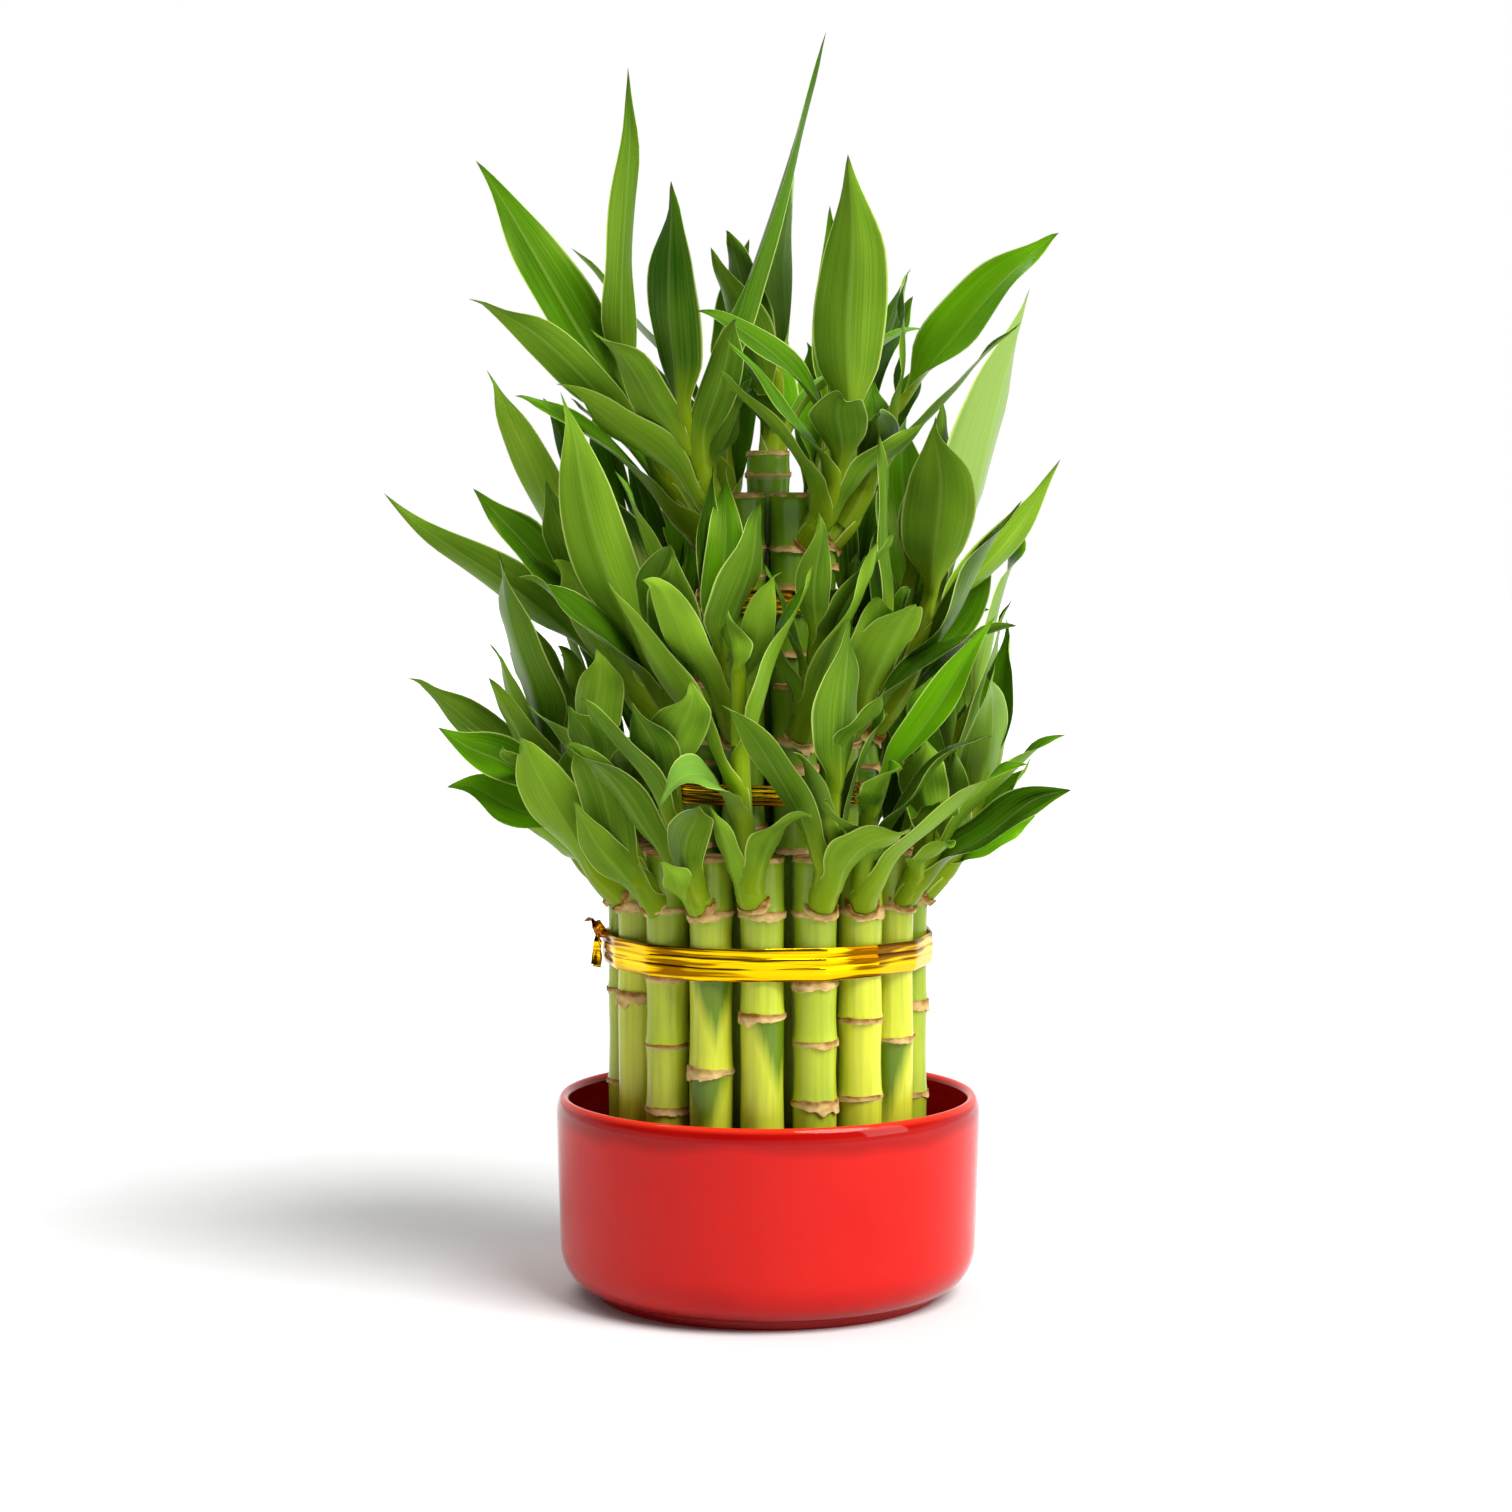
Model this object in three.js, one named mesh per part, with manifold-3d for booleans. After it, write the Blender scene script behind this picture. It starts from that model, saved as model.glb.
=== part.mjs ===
// Lucky bamboo: three tiers of cut canes, tied in a bundle and standing in a low red bowl of water.
// Each cane carries one leafy shoot just under its cut top.
// Millimetres, +Z up, origin at the middle of the bowl's foot, the side seen in the photo towards -Y.
import * as THREE from 'three';
import { mergeVertices } from 'three/addons/utils/BufferGeometryUtils.js';
import Module from 'manifold-3d';

const wasm = await Module();
wasm.setup();

// Bowl
const BOWL_RADIUS = 56;
const BOWL_HEIGHT = 53;
const BOWL_BELLY_RADIUS = 55;
const BOWL_BELLY_HEIGHT = 14;
const BOWL_FOOT_RADIUS = 45.8;
const BOWL_FOOT_STEP = 2.5;
const BOWL_FOOT_EASE = 0.6;
const BOWL_WALL = 3.6;
const BOWL_FLOOR = 6;
const BOWL_CORNER = 8;
const BOWL_SIDES = 32;

// Water, about half way up the bowl
const WATER_TOP = 30;
const WATER_SIDES = 32;

// Space left between pieces that touch
const SEAT_GAP = 0.3;

// Small faces left by a join are merged up to this distance
const FUSE_TOLERANCE = 0.05;

// Canes
const CANE_RADIUS = 5.6;
const RING_BULGE = 0.3;
const RING_HEIGHT = 0.9;
const CANE_FOOT = BOWL_FLOOR + SEAT_GAP;

// The three rings of canes, then the cane in the middle. The first cane's angle runs from the front
// towards +X.
// The node is where the shoot leaves; that of the middle cane is over the cut tops round it.
const TIERS = [
  { name: 'outer', count: 17, radius: 36.5, first: -2.4, cut: 119, node: 105, rings: [57, 77], sides: 8 },
  { name: 'middle', count: 11, radius: 23.5, first: 17, cut: 162, node: 148, rings: [121], sides: 6 },
  { name: 'inner', count: 6, radius: 12.3, first: 29, cut: 211, node: 197, rings: [171], sides: 6 },
  { name: 'centre', count: 1, radius: 0, first: 180, cut: 222, node: 216, rings: [175], sides: 6 },
];

// Ties, each a band that hugs the canes of one tier, with short straight steps round each cane
const TIE_THICKNESS = 0.9;
const LOWER_TIE = { name: 'lower_tie', tier: 0, middle: 94, height: 8, arcSteps: 2 };
const MIDDLE_TIE = { name: 'middle_tie', tier: 1, middle: 134, height: 5, arcSteps: 2 };
const UPPER_TIE = { name: 'upper_tie', tier: 2, middle: 183, height: 6, arcSteps: 4 };

// Knot of the lower tie: the twisted ends rise at the far left, turn over and hang
const KNOT_WIRE_RADIUS = 0.9;
const KNOT_PATH = [
  [-43, -3, 97],
  [-44.6, -4, 99],
  [-45, -2.4, 96],
  [-44.4, -4, 93],
  [-45, -2.8, 90],
  [-45.2, -3.6, 87],
];

// Shoots
const SHOOT_FOOT_RADIUS = 3.5;
const SHOOT_TOP_RADIUS = 1.7;
const SHOOT_SIDES = 4;
const SHOOT_STEPS = 3;
const SHOOT_BELOW_NODE = 1;
const SHOOT_BEND_RISE = 6;
const SHOOT_REACH = [13, 21];
const SHOOT_RISE = [36, 48];
const SHOOT_TURN = [-8, 8];

// Leaf blades, as shares of their length and half width
const LEAF_STATIONS = [0.18, 0.44, 0.73];
const LEAF_FOOT_WIDTH = 0.42;
const LEAF_BELLY = 0.48;
const LEAF_SWELL = 1.5;
const LEAF_TAPER = 1.7;
const LEAF_FOLD = { foot: 0.7, blade: 0.16 };
const LEAF_SEAT = 0.3;
const LEAF_SHEATH = { along: 0.2, out: 0.12 };
const LEAF_BOW = 0.72;
const LEAF_ROLL_END = 0.45;
const LEAF_THICKNESS = 0.75;
const LEAF_FOOT_EXTRA = 0.6;

// Leaves that the photo doesn't show are drawn between these limits, up to so many on each shoot
const LEAVES_PER_SHOOT = 6;
const LOWEST_LEAF = 0.3;
const LEAF_TURN = [5, 90];
const LEAF_CLIMB = [14, 42];
const LEAF_CLIMB_GAIN = 42;
const LEAF_LENGTH = [44, 64];
const LEAF_WIDTH = [11, 18];
const LEAF_ROLL = [-35, 35];
const LEAF_ARCH = [2, 11];

// Draws: a plain congruential sequence, the same on every run
const DRAW_SEED = 41;
const DRAW_FACTOR = 1664525;
const DRAW_STEP = 1013904223;
const DRAW_RANGE = 2 ** 32;

// Leaves settle clear of everything else. A seen leaf is rolled and moved in depth, a drawn one is
// drawn again and gets smaller. Against its own cane and leaves a leaf is tested from this point on:
// the first one beside its root, or the first one of its second ring.
const LEAF_CLEARANCE = 0.8;
const FREE_FROM_FOOT = 1;
const FREE_FROM_BELLY = 5;
const SEEN_ROLL_SHIFTS = [0, 20, -20, 40, -40];
const SEEN_DEPTH_SHIFTS = [0, -4, 4, -8, 8, -12, 12, -17, 17, -23, 23];
const LEAF_TRIES = 90;
const LEAF_SHRINK = 0.4;
const CANE_TOP_TESTED = 30;
const TIE_TEST_SIDES = 24;

// Tops of the shoots that the photo shows, and the tips of their leaves, measured in millimetres.
// A leaf leaves its shoot at a share of the shoot's length, and has a width, a roll about its own
// length in degrees and an arch, which is how far it bows upwards.
const SEEN_SHOOTS = {
  outer_cane_01: { top: [-7.5, -46, 166], leaves: [
    { at: 0.7, tip: [-41, -46, 190], width: 11, roll: 35, arch: 2 },
    { at: 0.8, tip: [11, -50, 193], width: 16, roll: 10, arch: 3 },
    { at: 0.6, tip: [-27, -66, 133], width: 14, roll: -35, arch: 20 },
    { at: 0.32, tip: [11, -68, 131], width: 12, roll: 10, arch: 12 },
    { at: 1, tip: [-10, -48, 182], width: 9, roll: 0, arch: 0 },
    { at: 0.2, tip: [-15, -54, 134], width: 7, roll: 0, arch: 0 },
  ] },
  outer_cane_02: { top: [16, -45, 142], leaves: [
    { at: 0.9, tip: [20, -50, 180], width: 15, roll: 0, arch: 2 },
    { at: 1, tip: [29, -50, 163], width: 8, roll: 0, arch: 0 },
    { at: 0.7, tip: [5.5, -58, 147], width: 10, roll: -20, arch: 6 },
  ] },
  outer_cane_03: { top: [25, -42, 134], leaves: [
    { at: 0.5, tip: [13, -56, 136], width: 9, roll: -20, arch: 4 },
    { at: 0.9, tip: [33, -54, 143], width: 14, roll: 20, arch: 3 },
    { at: 1, tip: [57, -38, 180], width: 10, roll: 50, arch: 0 },
    { at: 0.5, tip: [29, -53, 128], width: 6, roll: 0, arch: 0 },
  ] },
  outer_cane_04: { top: [41, -28, 130], leaves: [
    { at: 0.9, tip: [39.5, -34, 149], width: 13, roll: 0, arch: 2 },
    { at: 0.8, tip: [43, -46, 133], width: 11, roll: 0, arch: 3 },
    { at: 0.5, tip: [45, -44, 122], width: 10, roll: 20, arch: 4 },
  ] },
  outer_cane_05: { top: [57, -7, 138], leaves: [
    { at: 1, tip: [62, -8, 179], width: 11, roll: 60, arch: 0 },
    { at: 0.85, tip: [57, -22, 168], width: 15, roll: 30, arch: 2 },
    { at: 0.6, tip: [68, -14, 143], width: 9, roll: 40, arch: -3 },
    { at: 0.4, tip: [70, -10, 127], width: 12, roll: 60, arch: 2 },
  ] },
  outer_cane_14: { top: [-55, -4, 140], leaves: [
    { at: 0.8, tip: [-94, -8, 163], width: 11, roll: 65, arch: 7 },
    { at: 0.9, tip: [-73, -2, 172], width: 9, roll: 60, arch: 0 },
    { at: 1, tip: [-68, -24, 196], width: 16, roll: -20, arch: 2 },
    { at: 0.5, tip: [-64, 12, 150], width: 12, roll: 30, arch: 4 },
  ] },
  outer_cane_15: { top: [-56, -19, 134], leaves: [
    { at: 0.7, tip: [-82, -27, 136], width: 14, roll: -60, arch: 6 },
    { at: 0.9, tip: [-83, -22, 152], width: 13, roll: -65, arch: 2 },
    { at: 1, tip: [-66, -30, 148], width: 8, roll: 20, arch: 2 },
    { at: 0.4, tip: [-68, -16, 126], width: 11, roll: 50, arch: 6 },
  ] },
  outer_cane_16: { top: [-41, -36, 146], leaves: [
    { at: 0.1, tip: [-49, -48, 135], width: 10, roll: 40, arch: 0 },
    { at: 1, tip: [-43, -42, 172], width: 13, roll: 0, arch: 2 },
    { at: 0.85, tip: [-50, -46, 158], width: 12, roll: 20, arch: 2 },
    { at: 0.7, tip: [-30, -52, 150], width: 12, roll: -20, arch: 4 },
  ] },
  outer_cane_17: { top: [-24, -46, 138], leaves: [
    { at: 1, tip: [-19, -47, 165], width: 15, roll: -10, arch: 2 },
    { at: 0.9, tip: [-34, -54, 160], width: 12, roll: 20, arch: 2 },
    { at: 0.15, tip: [-27, -56, 120], width: 8, roll: 20, arch: 0 },
  ] },
  middle_cane_01: { top: [12, -36, 174], leaves: [
    { at: 0.9, tip: [31, -52, 201], width: 14, roll: 35, arch: 2 },
    { at: 1, tip: [12.5, -44, 206], width: 9, roll: 0, arch: 0 },
    { at: 0.7, tip: [-1, -48, 193], width: 10, roll: -20, arch: 0 },
  ] },
  middle_cane_02: { top: [28, -30, 176], leaves: [
    { at: 0.6, tip: [27, -52, 185], width: 14, roll: 20, arch: 3 },
    { at: 1, tip: [28, -30, 226], width: 9, roll: 30, arch: 0 },
    { at: 0.8, tip: [20, -46, 176], width: 12, roll: -10, arch: 2 },
  ] },
  middle_cane_03: { top: [42, -10, 184], leaves: [
    { at: 1, tip: [42, -32, 230], width: 19, roll: 0, arch: 2 },
    { at: 0.9, tip: [70, -2, 266], width: 22, roll: -60, arch: 4 },
    { at: 0.8, tip: [76, -6, 220], width: 10, roll: -60, arch: -4 },
    { at: 0.5, tip: [63, -33, 209], width: 19, roll: 55, arch: 0 },
    { at: 0.6, tip: [61, 2, 199], width: 13, roll: 50, arch: 0 },
  ] },
  middle_cane_09: { top: [-45, -7, 184], leaves: [
    { at: 1, tip: [-73, -6, 243], width: 12, roll: 55, arch: 4 },
    { at: 0.6, tip: [-99, -14, 211], width: 12, roll: 65, arch: -3 },
    { at: 0.8, tip: [-75, -22, 212], width: 15, roll: -55, arch: 2 },
    { at: 0.9, tip: [-56, -16, 214], width: 13, roll: 20, arch: 0 },
  ] },
  middle_cane_10: { top: [-30, -31, 176], leaves: [
    { at: 0.7, tip: [-52, -38, 236], width: 16, roll: 65, arch: 2 },
    { at: 1, tip: [-44, -28, 216], width: 13, roll: 10, arch: 0 },
    { at: 0.9, tip: [-24, -42, 198], width: 11, roll: -30, arch: 3 },
  ] },
  middle_cane_11: { top: [-13, -39, 172], leaves: [
    { at: 0.9, tip: [-2, -46, 208], width: 17, roll: 0, arch: 2 },
    { at: 1, tip: [-11, -40, 219], width: 10, roll: 10, arch: 0 },
    { at: 0.8, tip: [-14, -46, 218], width: 9, roll: 0, arch: 0 },
  ] },
  inner_cane_01: { top: [20, -21, 226], leaves: [
    { at: 1, tip: [20, -26, 296], width: 19, roll: 0, arch: 2 },
    { at: 0.8, tip: [18, -50, 234], width: 15, roll: 0, arch: 8 },
    { at: 0.9, tip: [-18, -36, 256], width: 10, roll: -40, arch: 12 },
    { at: 0.7, tip: [-11, -44, 249], width: 8, roll: -50, arch: 0 },
  ] },
  inner_cane_02: { top: [32, -1, 232], leaves: [
    { at: 1, tip: [75, -8, 278], width: 17, roll: 65, arch: 8 },
    { at: 0.9, tip: [36, -8, 268], width: 8, roll: 60, arch: 0 },
    { at: 0.7, tip: [64, -26, 254], width: 8, roll: 20, arch: 0 },
    { at: 0.8, tip: [42, 14, 247], width: 8, roll: 0, arch: 3 },
    { at: 0.6, tip: [28, -34, 230], width: 11, roll: 0, arch: 10 },
  ] },
  inner_cane_03: { top: [18, 24, 238], leaves: [
    { at: 1, tip: [27, 30, 289], width: 13, roll: 10, arch: 2 },
    { at: 0.9, tip: [17, 34, 290], width: 12, roll: 0, arch: 0 },
  ] },
  inner_cane_04: { top: [-14, 27, 240], leaves: [
    { at: 1, tip: [-5, 32, 280], width: 12, roll: 10, arch: 2 },
  ] },
  inner_cane_05: { top: [-32, -5, 234], leaves: [
    { at: 0.9, tip: [-75, -12, 296], width: 17, roll: -65, arch: 3 },
    { at: 1, tip: [-36, -6, 320], width: 11, roll: 40, arch: -4 },
    { at: 0.8, tip: [-75, -14, 259], width: 11, roll: 60, arch: 6 },
    { at: 0.6, tip: [-51, 8, 256], width: 11, roll: 30, arch: 2 },
  ] },
  inner_cane_06: { top: [-20, -25, 228], leaves: [
    { at: 1, tip: [-24.5, -30, 289], width: 17, roll: 0, arch: 2 },
    { at: 0.9, tip: [15, -4, 330], width: 9, roll: 60, arch: 0 },
    { at: 0.8, tip: [-8, -42, 254], width: 10, roll: -40, arch: 8 },
    { at: 0.7, tip: [-4.5, -36, 240], width: 9, roll: -60, arch: 2 },
    { at: 0.85, tip: [-45, -34, 252], width: 12, roll: 45, arch: 2 },
  ] },
  centre_cane_01: { top: [2, 9, 246], leaves: [
    { at: 1, tip: [6, 12, 302], width: 14, roll: 0, arch: 3 },
    { at: 0.9, tip: [-11, 6, 280], width: 13, roll: 40, arch: 6 },
    { at: 0.7, tip: [-15, 0, 275], width: 12, roll: 40, arch: 4 },
    { at: 0.5, tip: [-4, -6, 238], width: 10, roll: 10, arch: 4 },
  ] },
};

const UP = new THREE.Vector3(0, 0, 1);

// Gives a function whose every call draws the next share from 0 to 1.
function makeDraw(seed) {
  let state = seed;
  return function draw() {
    state = (Math.imul(state, DRAW_FACTOR) + DRAW_STEP) >>> 0;
    return state / DRAW_RANGE;
  };
}

// Value at a share of the way between two limits.
function between([low, high], share) {
  return THREE.MathUtils.lerp(low, high, share);
}

// Horizontal direction at an angle in degrees from the front (-Y) towards +X.
function compass(degrees) {
  const angle = THREE.MathUtils.degToRad(degrees);
  return new THREE.Vector3(Math.sin(angle), -Math.cos(angle), 0);
}

// Closed body through a row of rings of equal length, with a point at either end. The diagonals alternate,
// so both faces of a thin blade are split alike.
function loft(start, rings, tip) {
  const points = [start, ...rings.flat(), tip];
  const size = rings[0].length;
  const faces = [];
  for (let side = 0; side < size; side++) {
    faces.push(0, 1 + (side + 1) % size, 1 + side);
  }
  for (let row = 0; row + 1 < rings.length; row++) {
    for (let side = 0; side < size; side++) {
      const a = 1 + row * size + side;
      const b = 1 + row * size + (side + 1) % size;
      const c = b + size;
      const d = a + size;
      if (side % 2 === 0) {
        faces.push(a, b, c, a, c, d);
      } else {
        faces.push(a, b, d, b, c, d);
      }
    }
  }
  const last = 1 + (rings.length - 1) * size;
  for (let side = 0; side < size; side++) {
    faces.push(last + side, last + (side + 1) % size, points.length - 1);
  }
  return { points, faces };
}

function loftGeometry({ points, faces }) {
  const geometry = new THREE.BufferGeometry().setFromPoints(points);
  geometry.setIndex(faces);
  return geometry;
}

// Welded solid of a closed geometry, without the flat triangles that a lathe leaves on its axis.
function toSolid(geometry) {
  const bare = geometry.clone();
  bare.deleteAttribute('normal');
  bare.deleteAttribute('uv');
  const welded = mergeVertices(bare, 1e-4);
  const corners = welded.index.array;
  const kept = [];
  for (let i = 0; i < corners.length; i += 3) {
    const [a, b, c] = [corners[i], corners[i + 1], corners[i + 2]];
    if (a !== b && b !== c && c !== a) {
      kept.push(a, b, c);
    }
  }
  return new wasm.Manifold(new wasm.Mesh({
    numProp: 3,
    vertProperties: new Float32Array(welded.attributes.position.array),
    triVerts: new Uint32Array(kept),
  }));
}

function toGeometry(solid) {
  const mesh = solid.getMesh();
  const geometry = new THREE.BufferGeometry();
  geometry.setAttribute('position', new THREE.BufferAttribute(new Float32Array(mesh.vertProperties), 3));
  geometry.setIndex(new THREE.BufferAttribute(new Uint32Array(mesh.triVerts), 1));
  geometry.computeVertexNormals();
  return geometry;
}

// Joins solids and keeps the one outer body, so that no hollow or scrap stays behind.
function fuse(solids) {
  const parts = wasm.Manifold.union(solids).simplify(FUSE_TOLERANCE).decompose();
  return parts.reduce((best, part) => (part.volume() > best.volume() ? part : best));
}

// Lathe about the vertical axis from [radius, height] pairs, listed from the bottom on the axis.
function turned(profile, sides) {
  const points = profile.map(([radius, height]) => new THREE.Vector2(radius, height));
  return new THREE.LatheGeometry(points, sides).rotateX(Math.PI / 2);
}

function quarterArc(centre, reach, from, to, steps) {
  const arc = [];
  for (let i = 0; i <= steps; i++) {
    const angle = THREE.MathUtils.degToRad(from + (to - from) * i / steps);
    arc.push([centre[0] + reach[0] * Math.cos(angle), centre[1] + reach[1] * Math.sin(angle)]);
  }
  return arc;
}

// Centre of the rounding between the bowl's floor and its wall, as [radius, height].
function bowlCorner() {
  return [BOWL_BELLY_RADIUS - BOWL_WALL - BOWL_CORNER, BOWL_FLOOR + BOWL_CORNER];
}

// Half-round lip, nearly straight wall, rounded underside and a low foot.
function bowlProfile() {
  const rimHeight = BOWL_HEIGHT - BOWL_WALL / 2;
  const rimMiddle = BOWL_RADIUS - BOWL_WALL / 2;
  const underStart = BOWL_FOOT_RADIUS + BOWL_FOOT_EASE;
  const underside = [BOWL_BELLY_RADIUS - underStart, BOWL_BELLY_HEIGHT - BOWL_FOOT_STEP];
  return [
    [0, 0],
    [BOWL_FOOT_RADIUS, 0],
    [BOWL_FOOT_RADIUS, BOWL_FOOT_STEP - BOWL_FOOT_EASE / 2],
    ...quarterArc([underStart, BOWL_BELLY_HEIGHT], underside, -90, 0, 3),
    ...quarterArc([rimMiddle, rimHeight], [BOWL_WALL / 2, BOWL_WALL / 2], 0, 180, 4),
    ...quarterArc(bowlCorner(), [BOWL_CORNER, BOWL_CORNER], 0, -90, 2),
    [0, BOWL_FLOOR],
  ];
}

// Every cane with its place, its heights and the direction that its shoot takes.
function planCanes() {
  return TIERS.flatMap((tier) => Array.from({ length: tier.count }, (unused, i) => {
    const outward = compass(tier.first + 360 / tier.count * i);
    const name = `${tier.name}_cane_${String(i + 1).padStart(2, '0')}`;
    const axis = outward.clone().multiplyScalar(tier.radius);
    return { name, tier, index: i, outward, axis, leaves: [] };
  }));
}

// Ring scars, staggered from cane to cane, the last one where the shoot leaves.
function ringHeights(cane) {
  const stagger = (cane.index * 5 + 3) % 11 - 4;
  return [...cane.tier.rings.map((height) => height + stagger), cane.tier.node];
}

function caneGeometry(cane) {
  const rings = ringHeights(cane).flatMap((z) => [
    [CANE_RADIUS + RING_BULGE, z],
    [CANE_RADIUS, z + RING_HEIGHT],
  ]);
  const profile = [
    [0, CANE_FOOT],
    [CANE_RADIUS, CANE_FOOT],
    ...rings,
    [CANE_RADIUS, cane.tier.cut],
    [0, cane.tier.cut],
  ];
  return turned(profile, cane.tier.sides).translate(cane.axis.x, cane.axis.y, 0);
}

// Line of the shoot: it leaves the cane sideways just under the cut and turns up.
function shootCurve(cane, draw) {
  const start = cane.axis.clone().setZ(cane.tier.node - SHOOT_BELOW_NODE);
  const seen = SEEN_SHOOTS[cane.name];
  const reach = between(SHOOT_REACH, draw());
  const rise = between(SHOOT_RISE, draw());
  const turn = between(SHOOT_TURN, draw());
  const drawnTop = start.clone()
    .addScaledVector(cane.outward.clone().applyAxisAngle(UP, THREE.MathUtils.degToRad(turn)), reach)
    .addScaledVector(UP, rise);
  const top = seen ? new THREE.Vector3(...seen.top) : drawnTop;
  const side = top.clone().sub(start).setZ(0).normalize();
  const bend = start.clone().addScaledVector(side, 2 * CANE_RADIUS).addScaledVector(UP, SHOOT_BEND_RISE);
  return new THREE.QuadraticBezierCurve3(start, bend, top);
}

function shootRadius(share) {
  return between([SHOOT_FOOT_RADIUS, SHOOT_TOP_RADIUS], share);
}

function shootLoft(curve) {
  const side = new THREE.Vector3().crossVectors(UP, curve.v2.clone().sub(curve.v0).setZ(0).normalize());
  const rings = [];
  for (let step = 0; step <= SHOOT_STEPS; step++) {
    const share = step / SHOOT_STEPS;
    const along = curve.getTangent(share);
    const across = side.clone().addScaledVector(along, -side.dot(along)).normalize();
    const above = new THREE.Vector3().crossVectors(along, across);
    const centre = curve.getPoint(share);
    rings.push(Array.from({ length: SHOOT_SIDES }, (unused, i) => {
      const angle = 2 * Math.PI * i / SHOOT_SIDES;
      return centre.clone()
        .addScaledVector(across, shootRadius(share) * Math.cos(angle))
        .addScaledVector(above, shootRadius(share) * Math.sin(angle));
    }));
  }
  const tip = curve.v2.clone().addScaledVector(curve.getTangent(1), 2 * SHOOT_TOP_RADIUS);
  return loft(curve.v0, rings, tip);
}

// Share of the full half width along a leaf: a clasping foot, a belly and a long drawn point.
function leafOutline(share) {
  if (share < LEAF_BELLY) {
    return between([LEAF_FOOT_WIDTH, 1], Math.sin(Math.PI / 2 * share / LEAF_BELLY) ** LEAF_SWELL);
  }
  return 1 - ((share - LEAF_BELLY) / (1 - LEAF_BELLY)) ** LEAF_TAPER;
}

// How far the edges rise over the midrib, as a share of the half width.
function leafFold(share) {
  return LEAF_FOLD.blade + LEAF_FOLD.foot * (1 - share) ** 3;
}

function leafThickness(share) {
  return LEAF_THICKNESS + LEAF_FOOT_EXTRA * (1 - share) ** 4;
}

// Leaf blade: a bezier midrib that starts along the shoot, with four points round it at each station.
// A margin makes it larger all round, for testing what it would touch.
function leafLoft(leaf, margin = 0) {
  const flat = leaf.tip.clone().sub(leaf.root).setZ(0);
  const heading = flat.length() > 1 ? flat.normalize() : leaf.outward.clone();
  const start = leaf.root.clone().addScaledVector(heading, LEAF_SEAT * leaf.shootRadius);
  const span = leaf.tip.clone().sub(start);
  const rise = start.clone()
    .addScaledVector(leaf.grow, LEAF_SHEATH.along * span.length())
    .addScaledVector(heading, LEAF_SHEATH.out * span.length());
  const bow = start.clone().addScaledVector(span, LEAF_BOW).addScaledVector(UP, leaf.arch);
  const midrib = new THREE.CubicBezierCurve3(start, rise, bow, leaf.tip);
  const level = new THREE.Vector3().crossVectors(UP, heading);
  const rings = LEAF_STATIONS.map((share) => {
    const along = midrib.getTangent(share);
    const flatSide = level.clone().addScaledVector(along, -level.dot(along)).normalize();
    const turn = THREE.MathUtils.smoothstep(share, 0, LEAF_ROLL_END) * THREE.MathUtils.degToRad(leaf.roll);
    const across = flatSide.applyAxisAngle(along, turn);
    const above = new THREE.Vector3().crossVectors(along, across);
    const centre = midrib.getPoint(share);
    const halfWidth = leaf.width / 2 * leafOutline(share);
    const lift = halfWidth * leafFold(share);
    const halfThickness = leafThickness(share) / 2 + margin;
    const edge = (sign) => centre.clone()
      .addScaledVector(across, sign * (halfWidth + margin))
      .addScaledVector(above, lift);
    return [
      edge(1),
      centre.clone().addScaledVector(above, halfThickness),
      edge(-1),
      centre.clone().addScaledVector(above, -halfThickness),
    ];
  });
  const tip = leaf.tip.clone().addScaledVector(midrib.getTangent(1), margin);
  return loft(start, rings, tip);
}

// Surface as flat arrays of corners and edges with their bounds, for the touching test.
function surfaceOf({ points, faces }, firstPoint = 0) {
  const triangles = [];
  const edges = [];
  for (let i = 0; i < faces.length; i += 3) {
    const corners = [faces[i], faces[i + 1], faces[i + 2]];
    if (Math.min(...corners) < firstPoint) {
      continue;
    }
    triangles.push(corners.map((corner) => points[corner]));
    for (let k = 0; k < 3; k++) {
      const [a, b] = [corners[k], corners[(k + 1) % 3]];
      if (a < b) {
        edges.push([points[a], points[b]]);
      }
    }
  }
  return { triangles, edges, box: new THREE.Box3().setFromPoints(triangles.flat()) };
}

// True where the straight line from a to b passes through the triangle.
function pierces([a, b], [p, q, r]) {
  for (const axis of ['x', 'y', 'z']) {
    const low = Math.min(a[axis], b[axis]);
    const high = Math.max(a[axis], b[axis]);
    if (Math.max(p[axis], q[axis], r[axis]) < low || Math.min(p[axis], q[axis], r[axis]) > high) {
      return false;
    }
  }
  const [dx, dy, dz] = [b.x - a.x, b.y - a.y, b.z - a.z];
  const [ux, uy, uz] = [q.x - p.x, q.y - p.y, q.z - p.z];
  const [vx, vy, vz] = [r.x - p.x, r.y - p.y, r.z - p.z];
  const [hx, hy, hz] = [dy * vz - dz * vy, dz * vx - dx * vz, dx * vy - dy * vx];
  const det = ux * hx + uy * hy + uz * hz;
  if (Math.abs(det) < 1e-12) {
    return false;
  }
  const [sx, sy, sz] = [a.x - p.x, a.y - p.y, a.z - p.z];
  const first = (sx * hx + sy * hy + sz * hz) / det;
  if (first < 0 || first > 1) {
    return false;
  }
  const [kx, ky, kz] = [sy * uz - sz * uy, sz * ux - sx * uz, sx * uy - sy * ux];
  const second = (dx * kx + dy * ky + dz * kz) / det;
  if (second < 0 || first + second > 1) {
    return false;
  }
  const reach = (vx * kx + vy * ky + vz * kz) / det;
  return reach >= 0 && reach <= 1;
}

function surfacesCross(one, other) {
  if (!one.box.intersectsBox(other.box)) {
    return false;
  }
  return one.edges.some((edge) => other.triangles.some((triangle) => pierces(edge, triangle)))
    || other.edges.some((edge) => one.triangles.some((triangle) => pierces(edge, triangle)));
}

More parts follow.
